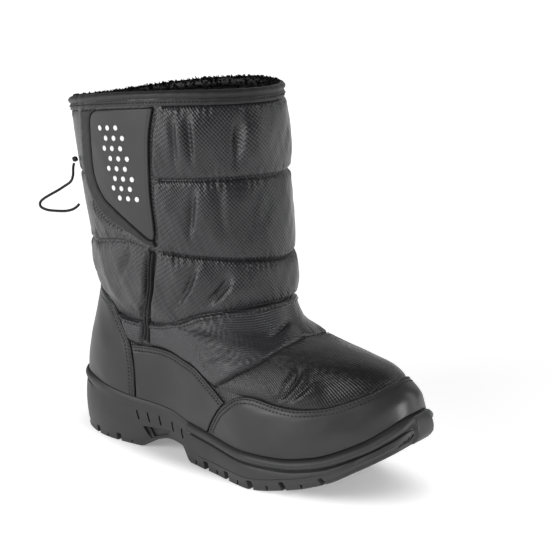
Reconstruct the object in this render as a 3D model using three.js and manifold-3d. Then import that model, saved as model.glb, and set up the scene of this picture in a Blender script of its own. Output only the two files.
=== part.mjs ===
// Quilted winter boot for the right foot, with a moulded cup sole, coated panels and a hollow lined upper.
// Millimetres. x runs from heel to toe, the outer side of the foot is -y and +z is up.
import * as THREE from 'three';
import { mergeVertices } from 'three/addons/utils/BufferGeometryUtils.js';
import Module from 'manifold-3d';

const wasm = await Module();
wasm.setup();

// Driving sizes of the last and the sole
const SOLE_LENGTH = 300;
const BALL_HALF = 57.5;
const HEEL_HEIGHT = 46;
const COLLAR_HEIGHT = 253;
const SIDE_LIFT = 4.5;
const TREAD_CHAMFER = 3;
const TREAD_INSET = 1.5;
const CUP_DEPTH = 9;
const LIP_HEIGHT = 7.5;
const LIP_GROOVE = 1.6;
const LIP_ROUND = 0.7;
const WALL_BULGE = 1;
const LUG_GAP = 5;
const LUG_DEPTH = 6;
const TREAD_CHANNEL = 7;
const SLOT_WIDTH = 1.6;
const SLOT_LENGTH = 8;
const SLOT_DEPTH = 1.4;
const BUMPER_STEP = 1.6;

// Driving sizes of the upper and what is sewn to it
const WALL = 3.6;
const LOFT = 3;
const VAMP_LOFT = 1.8;
const GAP = 0.3;
const PANEL = 1.4;
const PANEL_LIFT = 0.6;
const RECESS = 0.25;
const FLAP = 2.2;
const FLAP_BAND = 2.8;
const PIPING_HALF = 3.2;
const PIPING_HEIGHT = 2.6;
const PIPING_VALLEY = 1.3;
const BINDING = 1.3;
const BINDING_CROWN = 0.9;
const INSOLE = 4;
const INSOLE_GAP = 0.5;
const CORD_DIAMETER = 2;
const KNOT_RADIUS = 2.6;

// Outline of the sole seen from above: half width over the sine of the angle round the foot, in ball halves
const PLAN = [
  { at: 0.00, outer: 1.280, inner: 1.280 },
  { at: 0.12, outer: 1.020, inner: 0.990 },
  { at: 0.35, outer: 0.710, inner: 0.610 },
  { at: 0.50, outer: 0.820, inner: 0.670 },
  { at: 0.65, outer: 1.035, inner: 0.920 },
  { at: 0.72, outer: 1.080, inner: 1.010 },
  { at: 0.80, outer: 1.105, inner: 1.100 },
  { at: 0.93, outer: 1.050, inner: 1.190 },
  { at: 1.00, outer: 1.180, inner: 1.250 },
];

// Top edge and tread of the sole: places in sole lengths, heights in heel heights
const SOLE_TOP = [
  { at: 0.000, z: 1.000 },
  { at: 0.087, z: 0.978 },
  { at: 0.167, z: 0.902 },
  { at: 0.240, z: 0.833 },
  { at: 0.360, z: 0.778 },
  { at: 0.427, z: 0.687 },
  { at: 0.500, z: 0.641 },
  { at: 0.567, z: 0.604 },
  { at: 0.620, z: 0.585 },
  { at: 0.720, z: 0.602 },
  { at: 0.807, z: 0.698 },
  { at: 0.900, z: 0.961 },
  { at: 0.947, z: 1.180 },
  { at: 0.980, z: 1.370 },
  { at: 1.000, z: 1.430 },
];
const SOLE_BOTTOM = [
  { at: 0.000, z: 0.000 },
  { at: 0.257, z: 0.000 },
  { at: 0.300, z: 0.152 },
  { at: 0.360, z: 0.260 },
  { at: 0.400, z: 0.233 },
  { at: 0.433, z: 0.000 },
  { at: 0.633, z: 0.000 },
  { at: 0.750, z: 0.130 },
  { at: 0.847, z: 0.326 },
  { at: 0.900, z: 0.522 },
  { at: 0.970, z: 0.804 },
  { at: 1.000, z: 0.950 },
];

// Level sections of the upper. Heights are shares of the collar's height, places shares of the sole's length
// and half widths shares of the ball's. Foot is how far a section follows the foot's outline,
// and sole how far it rides on the sole's top edge.
const SECTIONS = [
  { up: 0.00, backZ: 0.000, frontZ: 0.000, backX: 0.013, frontX: 0.982, half: 0.945, foot: 1.00, sole: 1.00 },
  { up: 0.08, backZ: 0.047, frontZ: 0.047, backX: 0.017, frontX: 0.972, half: 0.955, foot: 1.00, sole: 1.00 },
  { up: 0.16, backZ: 0.107, frontZ: 0.107, backX: 0.027, frontX: 0.943, half: 0.939, foot: 1.00, sole: 1.00 },
  { up: 0.24, backZ: 0.162, frontZ: 0.166, backX: 0.037, frontX: 0.903, half: 0.887, foot: 0.92, sole: 1.00 },
  { up: 0.32, backZ: 0.213, frontZ: 0.219, backX: 0.047, frontX: 0.840, half: 0.835, foot: 0.70, sole: 1.00 },
  { up: 0.39, backZ: 0.257, frontZ: 0.256, backX: 0.055, frontX: 0.757, half: 0.800, foot: 0.42, sole: 1.00 },
  { up: 0.45, backZ: 0.300, frontZ: 0.286, backX: 0.062, frontX: 0.680, half: 0.800, foot: 0.20, sole: 0.90 },
  { up: 0.51, backZ: 0.364, frontZ: 0.340, backX: 0.065, frontX: 0.633, half: 0.835, foot: 0.05, sole: 0.65 },
  { up: 0.58, backZ: 0.443, frontZ: 0.435, backX: 0.063, frontX: 0.610, half: 0.870, foot: 0.00, sole: 0.35 },
  { up: 0.66, backZ: 0.542, frontZ: 0.557, backX: 0.052, frontX: 0.607, half: 0.913, foot: 0.00, sole: 0.00 },
  { up: 0.82, backZ: 0.751, frontZ: 0.787, backX: 0.022, frontX: 0.588, half: 0.991, foot: 0.00, sole: 0.00 },
  { up: 1.0, backZ: 0.990, frontZ: 1.068, backX: -0.011, frontX: 0.570, half: 1.022, foot: 0.00, sole: 0.00 },
];

// Quilting seams and panel edges: round is the angle from heel to toe in half turns, up the share of height.
// A band between two seams keeps at least LEAST_BAND_SHARE and has its full loft from FULL_BAND_SHARE.
const LOW_SEAM = [
  { round: 0.000, up: 0.445 },
  { round: 0.100, up: 0.440 },
  { round: 0.157, up: 0.423 },
  { round: 0.245, up: 0.391 },
  { round: 0.271, up: 0.355 },
  { round: 0.291, up: 0.299 },
  { round: 0.312, up: 0.242 },
  { round: 0.360, up: 0.248 },
  { round: 0.420, up: 0.257 },
  { round: 0.480, up: 0.257 },
  { round: 0.509, up: 0.228 },
  { round: 0.532, up: 0.214 },
  { round: 0.555, up: 0.238 },
  { round: 0.623, up: 0.309 },
  { round: 0.711, up: 0.369 },
  { round: 0.847, up: 0.431 },
  { round: 1.000, up: 0.465 },
];
const ANKLE_SEAM = [
  { round: 0.00, up: 0.345 },
  { round: 0.28, up: 0.351 },
  { round: 0.42, up: 0.379 },
  { round: 0.54, up: 0.470 },
  { round: 0.66, up: 0.547 },
  { round: 0.80, up: 0.579 },
  { round: 0.92, up: 0.593 },
  { round: 1.00, up: 0.595 },
];
const CALF_SEAM = [
  { round: 0.00, up: 0.700 },
  { round: 0.27, up: 0.711 },
  { round: 0.45, up: 0.727 },
  { round: 0.56, up: 0.713 },
  { round: 0.77, up: 0.701 },
  { round: 1.00, up: 0.692 },
];
const TOP_SEAM_SHARE = 0.853;
const BINDING_SHARE = 0.981;
const LIFT_SHARE = 0.7;
const LEAST_BAND_SHARE = 0.03;
const FULL_BAND_SHARE = 0.1;
const VAMP_SHARE = 0.55;
const TOE_EDGE = [
  { round: 0.503, up: 0.000 },
  { round: 0.515, up: 0.066 },
  { round: 0.535, up: 0.124 },
  { round: 0.565, up: 0.176 },
  { round: 0.589, up: 0.208 },
  { round: 0.615, up: 0.224 },
  { round: 0.639, up: 0.224 },
  { round: 0.663, up: 0.214 },
  { round: 0.693, up: 0.204 },
  { round: 0.721, up: 0.196 },
  { round: 0.759, up: 0.190 },
  { round: 0.813, up: 0.186 },
  { round: 0.932, up: 0.184 },
  { round: 1.000, up: 0.188 },
];
const COUNTER_EDGE = [
  { round: 0.325, up: 0.000 },
  { round: 0.325, up: 0.062 },
  { round: 0.323, up: 0.126 },
  { round: 0.317, up: 0.184 },
  { round: 0.309, up: 0.242 },
  { round: 0.291, up: 0.299 },
  { round: 0.271, up: 0.355 },
  { round: 0.245, up: 0.388 },
  { round: 0.157, up: 0.421 },
  { round: 0.000, up: 0.442 },
];
const SIDE_PANEL_EDGE = [
  { round: 0.290, up: 0.222 },
  { round: 0.319, up: 0.230 },
  { round: 0.363, up: 0.244 },
  { round: 0.420, up: 0.253 },
  { round: 0.480, up: 0.253 },
  { round: 0.509, up: 0.224 },
  { round: 0.547, up: 0.184 },
  { round: 0.600, up: 0.150 },
];
const FLAP_FRONT = [
  { round: 0.606, up: 0.978 },
  { round: 0.589, up: 0.940 },
  { round: 0.581, up: 0.906 },
  { round: 0.571, up: 0.840 },
  { round: 0.567, up: 0.776 },
  { round: 0.563, up: 0.748 },
  { round: 0.556, up: 0.736 },
];
const FLAP_REAR = [
  { round: 0.539, up: 0.738 },
  { round: 0.495, up: 0.762 },
  { round: 0.447, up: 0.786 },
  { round: 0.401, up: 0.808 },
  { round: 0.373, up: 0.836 },
  { round: 0.363, up: 0.872 },
  { round: 0.371, up: 0.918 },
  { round: 0.378, up: 0.953 },
  { round: 0.392, up: 0.971 },
  { round: 0.416, up: 0.978 },
];
const BAND_REAR = [
  { round: 0.560, up: 0.724 },
  { round: 0.543, up: 0.723 },
  { round: 0.505, up: 0.735 },
  { round: 0.455, up: 0.752 },
  { round: 0.395, up: 0.770 },
  { round: 0.351, up: 0.792 },
  { round: 0.319, up: 0.820 },
  { round: 0.303, up: 0.854 },
  { round: 0.309, up: 0.898 },
  { round: 0.325, up: 0.946 },
  { round: 0.335, up: 0.978 },
];
const PIPING_PATH = [
  { round: 0.543, up: 0.712 },
  { round: 0.527, up: 0.671 },
  { round: 0.493, up: 0.555 },
  { round: 0.430, up: 0.445 },
  { round: 0.385, up: 0.369 },
  { round: 0.356, up: 0.262 },
];

// Smooth rear gusset without quilting, above the calf seam: edges on the inner and the outer side
const GUSSET_INNER = -0.14;
const GUSSET_OUTER = 0.33;
const GUSSET_LOFT = 0.2;

// How deep the groove under the sole's lip is along the foot, as a share of its full depth
const GROOVE_SHARE = [
  { round: 0.00, depth: 0.7 },
  { round: 0.26, depth: 0.7 },
  { round: 0.31, depth: 0.0 },
  { round: 0.45, depth: 0.0 },
  { round: 0.48, depth: 1.0 },
  { round: 1.00, depth: 1.0 },
];
// Places of the gaps between lugs and of the slots on the arch, in sole lengths
const LUG_GAPS = [0.110, 0.190, 0.495, 0.573, 0.655, 0.745, 0.837];
const LUG_CHANNELS = [{ from: 0.030, to: 0.245 }, { from: 0.445, to: 0.800 }];
const ARCH_SLOTS = [0.257, 0.290, 0.328, 0.372, 0.408];
const BUMPER_SHARE = 0.958;
const BUMPER_EDGE_SHARE = 0.004;
const SLOT_SLANT = 0.4;

// The drawcord leaves the knot, stands out in a loop and goes back into the shaft
const CORD_ROUTE = [
  [18.9, -38.9, 208.2], [18.6, -39.6, 205.6], [18.9, -40.2, 203.0], [19.4, -40.9, 200.0],
  [19.4, -42.0, 197.0],
  [18.5, -43.4, 194.5], [15.5, -46.2, 191.7], [12.0, -49.8, 188.6], [8.2, -53.7, 185.7], [5.2, -56.9, 183.2],
  [3.4, -58.9, 181.0], [3.1, -59.8, 178.9], [4.0, -59.7, 176.9], [6.2, -58.5, 175.5], [8.8, -56.8, 174.6],
  [11.5, -54.9, 174.2], [17.1, -50.9, 173.9], [20.3, -48.5, 174.2], [23.1, -46.2, 175.2],
  [25.3, -44.3, 177.0], [26.7, -42.6, 179.2],
];
const KNOT_PLACE = [19.5, -38.4, 211.2];

// Fineness of the mesh
const ROUND_STEPS = 28;
const ZONE_ROWS = [0.16, 0.32, 0.48, 0.65, 0.82, 1];
const ANKLE_ROWS = [0.15, 0.5, 0.85, 1];
const BAND_ROWS = [0.12, 0.5, 0.88, 1];
const LINING_ROWS = [0, 0.07, 0.14, 0.21, 0.29, 0.37, 0.45, 0.54, 0.66, 0.82, 1];
const CORD_SIDES = 8;
const CORD_STEPS = 36;

// Smooth curve through a short table, without overshoot
function curve(table, key, value) {
  const xs = table.map((row) => row[key]);
  const ys = table.map((row) => row[value]);
  const last = xs.length - 1;
  const slopes = xs.slice(1).map((x, i) => (ys[i + 1] - ys[i]) / (x - xs[i]));
  const tangents = xs.map((_, i) => {
    if (i === 0) return slopes[0];
    if (i === last) return slopes[last - 1];
    const [a, b] = [slopes[i - 1], slopes[i]];
    return a * b > 0 ? (2 * a * b) / (a + b) : 0;
  });
  return (place) => {
    const q = THREE.MathUtils.clamp(place, xs[0], xs[last]);
    let i = 0;
    while (i < last - 1 && q >= xs[i + 1]) i += 1;
    const h = xs[i + 1] - xs[i];
    const t = (q - xs[i]) / h;
    const ease = t * t * (3 - 2 * t);
    const leave = t * (1 - t) * (1 - t) * h * tangents[i];
    const arrive = t * t * (t - 1) * h * tangents[i + 1];
    return ys[i] * (1 - ease) + ys[i + 1] * ease + leave + arrive;
  };
}

const planTable = PLAN.map((row) => ({ ...row, angle: Math.acos(1 - 2 * row.at) }));
const planOuter = curve(planTable, 'angle', 'outer');
const planInner = curve(planTable, 'angle', 'inner');
const topShare = curve(SOLE_TOP, 'at', 'z');
const bottomShare = curve(SOLE_BOTTOM, 'at', 'z');
const soleTop = (x) => HEEL_HEIGHT * topShare(x / SOLE_LENGTH);
const soleBottom = (x) => HEEL_HEIGHT * bottomShare(x / SOLE_LENGTH);
const sectionNames = ['backZ', 'frontZ', 'backX', 'frontX', 'half', 'foot', 'sole'];
const section = Object.fromEntries(sectionNames.map((name) => [name, curve(SECTIONS, 'up', name)]));
const lowSeam = curve(LOW_SEAM, 'round', 'up');
const ankleTable = curve(ANKLE_SEAM, 'round', 'up');
const ankleSeam = (round) => Math.max(ankleTable(round), lowSeam(round) + LEAST_BAND_SHARE);
const calfSeam = curve(CALF_SEAM, 'round', 'up');
const toeEdge = curve(TOE_EDGE, 'round', 'up');
const grooveShare = curve(GROOVE_SHARE, 'round', 'depth');

// Angle round the foot, wrapped so that it is positive on the outer side
function wrap(angle) {
  return angle > Math.PI ? angle - 2 * Math.PI : angle;
}
function roundOf(angle) {
  return Math.abs(wrap(angle)) / Math.PI;
}
function planWidth(angle) {
  const signed = wrap(angle);
  return signed < 0 ? planInner(-signed) : planOuter(signed);
}

// Point of the upper's outside without quilting
function last(angle, up) {
  const along = (1 - Math.cos(angle)) / 2;
  const foot = section.foot(up);
  const x = SOLE_LENGTH * THREE.MathUtils.lerp(section.backX(up), section.frontX(up), along);
  const half = BALL_HALF * section.half(up) * (foot * planWidth(angle) + 1 - foot);
  const rise = COLLAR_HEIGHT * THREE.MathUtils.lerp(section.backZ(up), section.frontZ(up), along);
  const raised = THREE.MathUtils.clamp((up - LIFT_SHARE) / (1 - LIFT_SHARE), 0, 1);
  const lift = SIDE_LIFT * Math.sin(angle) ** 2 * raised ** 2;
  return new THREE.Vector3(x, -Math.sin(angle) * half, rise + section.sole(up) * soleTop(x) + lift);
}
function lastNormal(angle, up) {
  const step = 1e-3;
  const low = Math.max(up - step, 0);
  const high = Math.min(up + step, 1);
  const along = last(angle + step, up).sub(last(angle - step, up));
  const upward = last(angle, high).sub(last(angle, low));
  return along.cross(upward).normalize();
}
function offLast(angle, up, distance) {
  return last(angle, up).addScaledVector(lastNormal(angle, up), distance);
}

// Outline of the sole, moved in by inset, at height z
function soleEdge(angle, inset, z) {
  const point = (a) => new THREE.Vector3(
    (SOLE_LENGTH * (1 - Math.cos(a))) / 2, -Math.sin(a) * planWidth(a) * BALL_HALF, 0);
  const step = 1e-3;
  const along = point(angle + step).sub(point(angle - step));
  const outward = new THREE.Vector3(along.y, -along.x, 0).normalize();
  return point(angle).addScaledVector(outward, -inset).setZ(z);
}
// Foot of the upper, moved out by distance, at height z
function upperFoot(angle, distance, z) {
  const step = 1e-3;
  const along = last(angle + step, 0).sub(last(angle - step, 0));
  const outward = new THREE.Vector3(along.y, -along.x, 0).normalize();
  return last(angle, 0).addScaledVector(outward, distance).setZ(z);
}
const rimHeight = (angle) => last(angle, 0).z;
// Place on the upper's facet at this angle, so that the cup of the sole keeps an even gap to the upper
function onFacet(angle, place) {
  const facet = Math.PI / ROUND_STEPS;
  const start = Math.floor(angle / facet + 1e-6);
  return place(start * facet).lerp(place((start + 1) * facet), Math.max(angle / facet - start, 0));
}

// Height of the quilting over the last: a pillow between each pair of seams
function pillow(share) {
  const t = THREE.MathUtils.clamp(share, 0, 1);
  return Math.sqrt(4 * t * (1 - t));
}
function quilt(angle, up) {
  const round = roundOf(angle);
  const seams = [lowSeam(round), ankleSeam(round), calfSeam(round), TOP_SEAM_SHARE, BINDING_SHARE];
  if (up >= BINDING_SHARE) return 0;
  if (up <= seams[0]) {
    const edge = toeEdge(round);
    return round > VAMP_SHARE && up > edge ? VAMP_LOFT * pillow((up - edge) / (seams[0] - edge)) : 0;
  }
  const band = seams.findIndex((seam) => up < seam);
  const [low, high] = [seams[band - 1], seams[band]];
  const loft = LOFT * Math.min(1, (high - low) / FULL_BAND_SHARE) * pillow((up - low) / (high - low));
  const signed = wrap(angle) / Math.PI;
  const smooth = up > seams[2] && signed > GUSSET_INNER && signed < GUSSET_OUTER;
  return smooth ? loft * GUSSET_LOFT : loft;
}

// Angles round the foot: from the heel along the outer side to the toe, and back along the inner side
function loopAngles(halfTurn) {
  const back = halfTurn.slice(1, -1).reverse().map((angle) => 2 * Math.PI - angle);
  return [...halfTurn, ...back];
}
const evenHalf = Array.from({ length: ROUND_STEPS + 1 }, (_, i) => (i / ROUND_STEPS) * Math.PI);
const soleKeys = [...SOLE_BOTTOM.slice(1, 7).map((row) => Math.acos(1 - 2 * row.at)),
  (BUMPER_SHARE - BUMPER_EDGE_SHARE) * Math.PI, (BUMPER_SHARE + BUMPER_EDGE_SHARE) * Math.PI];
const soleHalf = [...evenHalf, ...soleKeys].sort((a, b) => a - b);

// Rows of the upper at one angle: they follow the seams
function rowsAt(angle) {
  const round = roundOf(angle);
  const seams = [0, lowSeam(round), ankleSeam(round), calfSeam(round), TOP_SEAM_SHARE, BINDING_SHARE];
  const shares = [ZONE_ROWS, ANKLE_ROWS, BAND_ROWS, BAND_ROWS, BAND_ROWS];
  const rows = shares.flatMap((zone, k) => zone.map((t) => THREE.MathUtils.lerp(seams[k], seams[k + 1], t)));
  return [0, ...rows, 1];
}
const ROW_COUNT = rowsAt(0).length;

// Closed body from points and triangles
function bodyOf(points, faces) {
  const vertProperties = new Float32Array(points.flatMap((p) => [p.x, p.y, p.z]));
  return new wasm.Manifold(new wasm.Mesh({ numProp: 3, vertProperties, triVerts: new Uint32Array(faces) }));
}
function wallFaces(loops, size, closed) {
  const faces = [];
  for (let k = 0; k < (closed ? loops : loops - 1); k += 1) {
    for (let i = 0; i < size; i += 1) {
      const [a, b] = [k * size + i, k * size + ((i + 1) % size)];
      const [c, d] = [((k + 1) % loops) * size + ((i + 1) % size), ((k + 1) % loops) * size + i];
      faces.push(a, b, c, a, c, d);
    }
  }
  return faces;
}
// A ring: loops of points, each joined to the next and the last to the first
function ringBody(loops) {
  return bodyOf(loops.flat(), wallFaces(loops.length, loops[0].length, true));
}
// A block: loops of points from bottom to top, closed below and above by strips across the foot
function blockBody(loops) {
  const size = loops[0].length;
  const faces = wallFaces(loops.length, size, false);
  const top = (loops.length - 1) * size;
  for (let i = 0; i < size / 2; i += 1) {
    const [outer, outerNext] = [i, i + 1];
    const [inner, innerNext] = [(size - i) % size, size - i - 1];
    const quads = [[outer, inner, innerNext], [outer, innerNext, outerNext]];
    for (const [a, b, c] of quads.filter((tri) => new Set(tri).size === 3)) {
      faces.push(a, b, c, top + a, top + c, top + b);
    }
  }
  return bodyOf(loops.flat(), faces);
}
// A three.js geometry as a solid
function solidOf(geometry) {
  const bare = geometry.clone();
  bare.deleteAttribute('normal');
  bare.deleteAttribute('uv');
  const merged = mergeVertices(bare, 1e-4);
  return new wasm.Manifold(new wasm.Mesh({
    numProp: 3,
    vertProperties: new Float32Array(merged.attributes.position.array),
    triVerts: new Uint32Array(merged.index.array),
  }));
}

// Shell over the last between two distances, on the same rows as the upper
function shell(low, high, firstRow, lastRow) {
  const angles = loopAngles(evenHalf);
  const rows = angles.map((angle) => rowsAt(angle));
  const loop = (row, distance) => angles.map((angle, i) => {
    const point = offLast(angle, rows[i][row], distance);
    return row === 0 ? point.setZ(point.z + PANEL_LIFT) : point;
  });
  const outside = [];
  const inside = [];
  for (let row = firstRow; row <= lastRow; row += 1) {
    outside.push(loop(row, high));
    inside.unshift(loop(row, low));
  }
  return ringBody([...outside, ...inside]);
}

// Outline in side view: points of the last, smoothed
function sideCurve(table, steps) {
  const points = table.map(({ round, up }) => {
    const p = last(round * Math.PI, up);
    return new THREE.Vector2(p.x, p.z);
  });
  return new THREE.SplineCurve(points).getPoints(steps);
}
// Cutter across the boot: an outline in side view, from the middle plane to one side or both
function cutter(outline, outer, inner) {
  const reach = 2 * BALL_HALF;
  const geometry = new THREE.ExtrudeGeometry(new THREE.Shape(outline), {
    depth: reach * ((outer ? 1 : 0) + (inner ? 1 : 0)), bevelEnabled: false, steps: 1,
  });
  geometry.rotateX(Math.PI / 2);
  if (inner) geometry.translate(0, reach, 0);
  return solidOf(geometry);
}
// A cutter with the gap of touching pieces added all round in side view
function grown(cut) {
  const wide = cut.add(cut.translate([GAP, 0, 0])).add(cut.translate([-GAP, 0, 0]));
  return wide.add(wide.translate([0, 0, GAP])).add(wide.translate([0, 0, -GAP]));
}
const below = -HEEL_HEIGHT;
const behind = -SOLE_LENGTH / 4;
const ahead = SOLE_LENGTH * 1.25;
const corner = (x, z) => new THREE.Vector2(x, z);

function counterOutline() {
  const edge = sideCurve(COUNTER_EDGE, 22);
  const top = edge[edge.length - 1];
  return [corner(behind, below), corner(edge[0].x, below), ...edge, corner(behind, top.y)];
}
function toeOutline() {
  const edge = sideCurve(TOE_EDGE, 30);
  const top = edge[edge.length - 1];
  return [corner(edge[0].x, below), corner(ahead, below), corner(ahead, top.y), ...edge.reverse()];
}
function sidePanelOutline() {
  const edge = sideCurve(SIDE_PANEL_EDGE, 18);
  const front = edge[edge.length - 1];
  return [corner(edge[0].x, below), corner(front.x, below), ...edge.reverse()];
}
function flapOutline() {
  return [...sideCurve(FLAP_FRONT, 10), ...sideCurve(FLAP_REAR, 16)];
}
function bandOutline() {
  return [...sideCurve(FLAP_FRONT, 10).slice(0, -1), ...sideCurve(BAND_REAR, 18)];
}

// Raised seam down the side: a strip with two ridges and a valley, following its path
function pipingBody(half, profile, reach) {
  const steps = 14;
  const pathRound = curve(PIPING_PATH.map((row) => ({ ...row, down: -row.up })), 'down', 'round');
  const [first, end] = [PIPING_PATH[0].up + reach, PIPING_PATH[PIPING_PATH.length - 1].up - reach];
  const loops = [];
  for (let k = 0; k <= steps; k += 1) {
    const up = THREE.MathUtils.lerp(end, first, k / steps);
    const angle = pathRound(-up) * Math.PI;
    const step = 1e-3;
    const perTurn = last(angle + step, up).distanceTo(last(angle - step, up)) / (2 * step);
    loops.push(profile.map(({ across, height }) => offLast(angle + (across * half) / perTurn, up, height)));
  }
  const size = profile.length;
  const faces = wallFaces(loops.length, size, false);
  const top = (loops.length - 1) * size;
  for (let i = 1; i < size - 1; i += 1) {
    faces.push(0, i + 1, i, top, top + i, top + i + 1);
  }
  return bodyOf(loops.flat(), faces);
}
const pipingRidges = [
  { across: -1, height: GAP - RECESS },
  { across: -0.95, height: PIPING_VALLEY },
  { across: -0.5, height: PIPING_HEIGHT },
  { across: 0, height: PIPING_VALLEY },
  { across: 0.5, height: PIPING_HEIGHT },
  { across: 0.95, height: PIPING_VALLEY },
  { across: 1, height: GAP - RECESS },
];
const pipingChannel = [
  { across: -1, height: -RECESS },
  { across: -1, height: 2 * LOFT },
  { across: 1, height: 2 * LOFT },
  { across: 1, height: -RECESS },
];

function outsoleBody() {
  const angles = loopAngles(soleHalf);
  const at = (angle) => (SOLE_LENGTH * (1 - Math.cos(angle))) / 2;
  const bumper = (angle) => (roundOf(angle) > BUMPER_SHARE ? BUMPER_STEP : 0);
  const loop = (inset, height) => angles.map(
    (angle) => soleEdge(angle, inset(angle) - bumper(angle), height(angle)));
  const bottom = (angle) => soleBottom(at(angle));
  const groove = (angle) => LIP_GROOVE * grooveShare(roundOf(angle));
  const flat = (value) => () => value;
  const middle = (angle) => (bottom(angle) + TREAD_CHAMFER + rimHeight(angle) - LIP_HEIGHT) / 2;
  const floor = (angle) => rimHeight(angle) - CUP_DEPTH;
  const body = blockBody([
    loop(flat(TREAD_CHAMFER), bottom),
    loop(flat(TREAD_INSET), (a) => bottom(a) + TREAD_CHAMFER),
    loop(flat(-WALL_BULGE), middle),
    loop(flat(0), (a) => rimHeight(a) - LIP_HEIGHT - LIP_GROOVE),
    loop(groove, (a) => rimHeight(a) - LIP_HEIGHT),
    loop((a) => -groove(a) / 4, (a) => rimHeight(a) - LIP_HEIGHT + LIP_GROOVE),
    loop((a) => -groove(a) / 4, (a) => rimHeight(a) - LIP_ROUND),
    loop(flat(LIP_ROUND), rimHeight),
    angles.map((angle) => onFacet(angle, (a) => upperFoot(a, GAP, rimHeight(a)))),
    angles.map((angle) => onFacet(angle, (a) => upperFoot(a, GAP, floor(a)))),
  ]);
  return body.subtract(treadCuts()).subtract(archCuts());
}
// Gaps between the lugs and a channel along the tread
function treadCuts() {
  const cuts = LUG_GAPS.map((at) => {
    const x = at * SOLE_LENGTH;
    const rise = Math.atan2(soleBottom(x + LUG_GAP) - soleBottom(x - LUG_GAP), 2 * LUG_GAP);
    const box = new THREE.BoxGeometry(LUG_GAP, 4 * BALL_HALF, 2 * LUG_DEPTH);
    box.rotateY(-rise);
    box.translate(x, 0, soleBottom(x));
    return solidOf(box);
  });
  const channels = LUG_CHANNELS.map(({ from, to }) => {
    const [start, end] = [from * SOLE_LENGTH, to * SOLE_LENGTH];
    const box = new THREE.BoxGeometry(end - start, TREAD_CHANNEL, 2 * LUG_DEPTH);
    box.translate((start + end) / 2, 0, 0);
    return solidOf(box);
  });
  return [...cuts, ...channels].reduce((all, cut) => all.add(cut));
}
// Slanted slots on both sides of the arch
function archCuts() {
  const cuts = [1, -1].flatMap((side) => ARCH_SLOTS.map((at) => {
    const angle = side * Math.acos(1 - 2 * at);
    const wall = soleEdge(angle, -WALL_BULGE / 2, rimHeight(angle) - LIP_HEIGHT - SLOT_LENGTH / 2);
    const box = new THREE.BoxGeometry(SLOT_WIDTH, 2 * SLOT_DEPTH, SLOT_LENGTH);
    box.rotateY(-SLOT_SLANT);
    box.translate(wall.x, wall.y, wall.z);
    return solidOf(box);
  }));
  return cuts.reduce((all, cut) => all.add(cut));
}

function insoleBody() {
  const angles = loopAngles(evenHalf);
  const floor = (angle) => rimHeight(angle) - CUP_DEPTH + GAP;
  const inset = -(WALL + INSOLE_GAP);
  return blockBody([
    angles.map((angle) => upperFoot(angle, inset, floor(angle))),
    angles.map((angle) => upperFoot(angle, inset, floor(angle) + INSOLE)),
  ]);
}

// The hollow upper: its foot stands in the cup of the sole, its wall ends at the collar
function upperBody() {
  const angles = loopAngles(evenHalf);
  const rows = angles.map((angle) => rowsAt(angle));
  const cup = (angle) => rimHeight(angle) - CUP_DEPTH + GAP;
  const loops = [angles.map((angle) => upperFoot(angle, 0, cup(angle)))];
  for (let row = 0; row < ROW_COUNT; row += 1) {
    loops.push(angles.map((angle, i) => offLast(angle, rows[i][row], quilt(angle, rows[i][row]))));
  }
  for (const up of [...LINING_ROWS].reverse()) {
    loops.push(angles.map((angle) => offLast(angle, up, -WALL)));
  }
  loops.push(angles.map((angle) => upperFoot(angle, -WALL, cup(angle))));
  return ringBody(loops);
}

// Folded binding over the collar's edge
function bindingBody() {
  const angles = loopAngles(evenHalf);
  const rise = (point, height) => point.setZ(point.z + height);
  const legOut = GAP + BINDING;
  const profile = [
    (a) => offLast(a, BINDING_SHARE, legOut),
    (a) => rise(offLast(a, 1, legOut), GAP),
    (a) => rise(offLast(a, 1, -WALL / 2), legOut + BINDING_CROWN),
    (a) => rise(offLast(a, 1, -WALL - legOut), GAP),
    (a) => offLast(a, BINDING_SHARE, -WALL - legOut),
    (a) => offLast(a, BINDING_SHARE, -WALL - GAP),
    (a) => rise(offLast(a, 1, -WALL - GAP), GAP),
    (a) => rise(offLast(a, 1, GAP), GAP),
    (a) => offLast(a, BINDING_SHARE, GAP),
  ];
  return ringBody(profile.map((place) => angles.map((angle) => place(angle))));
}

function cordGeometry() {
  const path = new THREE.CatmullRomCurve3(CORD_ROUTE.map((p) => new THREE.Vector3(...p)));
  const circle = Array.from({ length: CORD_SIDES }, (_, i) => {
    const turn = (i / CORD_SIDES) * 2 * Math.PI;
    return new THREE.Vector2((Math.cos(turn) * CORD_DIAMETER) / 2, (Math.sin(turn) * CORD_DIAMETER) / 2);
  });
  return new THREE.ExtrudeGeometry(new THREE.Shape(circle), { steps: CORD_STEPS, extrudePath: path });
}

// Materials
const colours = {
  rubber: { color: 0x3a3a3b, roughness: 0.62 },
  coated: { color: 0x3c3c3d, roughness: 0.45 },
  nylon: { color: 0x2b2b2d, roughness: 0.55 },
  binding: { color: 0x242425, roughness: 0.8 },
  felt: { color: 0x1c1c1d, roughness: 0.95 },
  elastic: { color: 0x202021, roughness: 0.7 },
};
function meshOf(body, name, finish) {
  const { vertProperties, triVerts } = body.getMesh();
  const geometry = new THREE.BufferGeometry();
  geometry.setAttribute('position', new THREE.BufferAttribute(new Float32Array(vertProperties), 3));
  geometry.setIndex(new THREE.BufferAttribute(new Uint32Array(triVerts), 1));
  geometry.computeVertexNormals();
  const mesh = new THREE.Mesh(geometry, new THREE.MeshStandardMaterial({ ...colours[finish], metalness: 0 }));
  mesh.name = name;
  return mesh;
}

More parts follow.
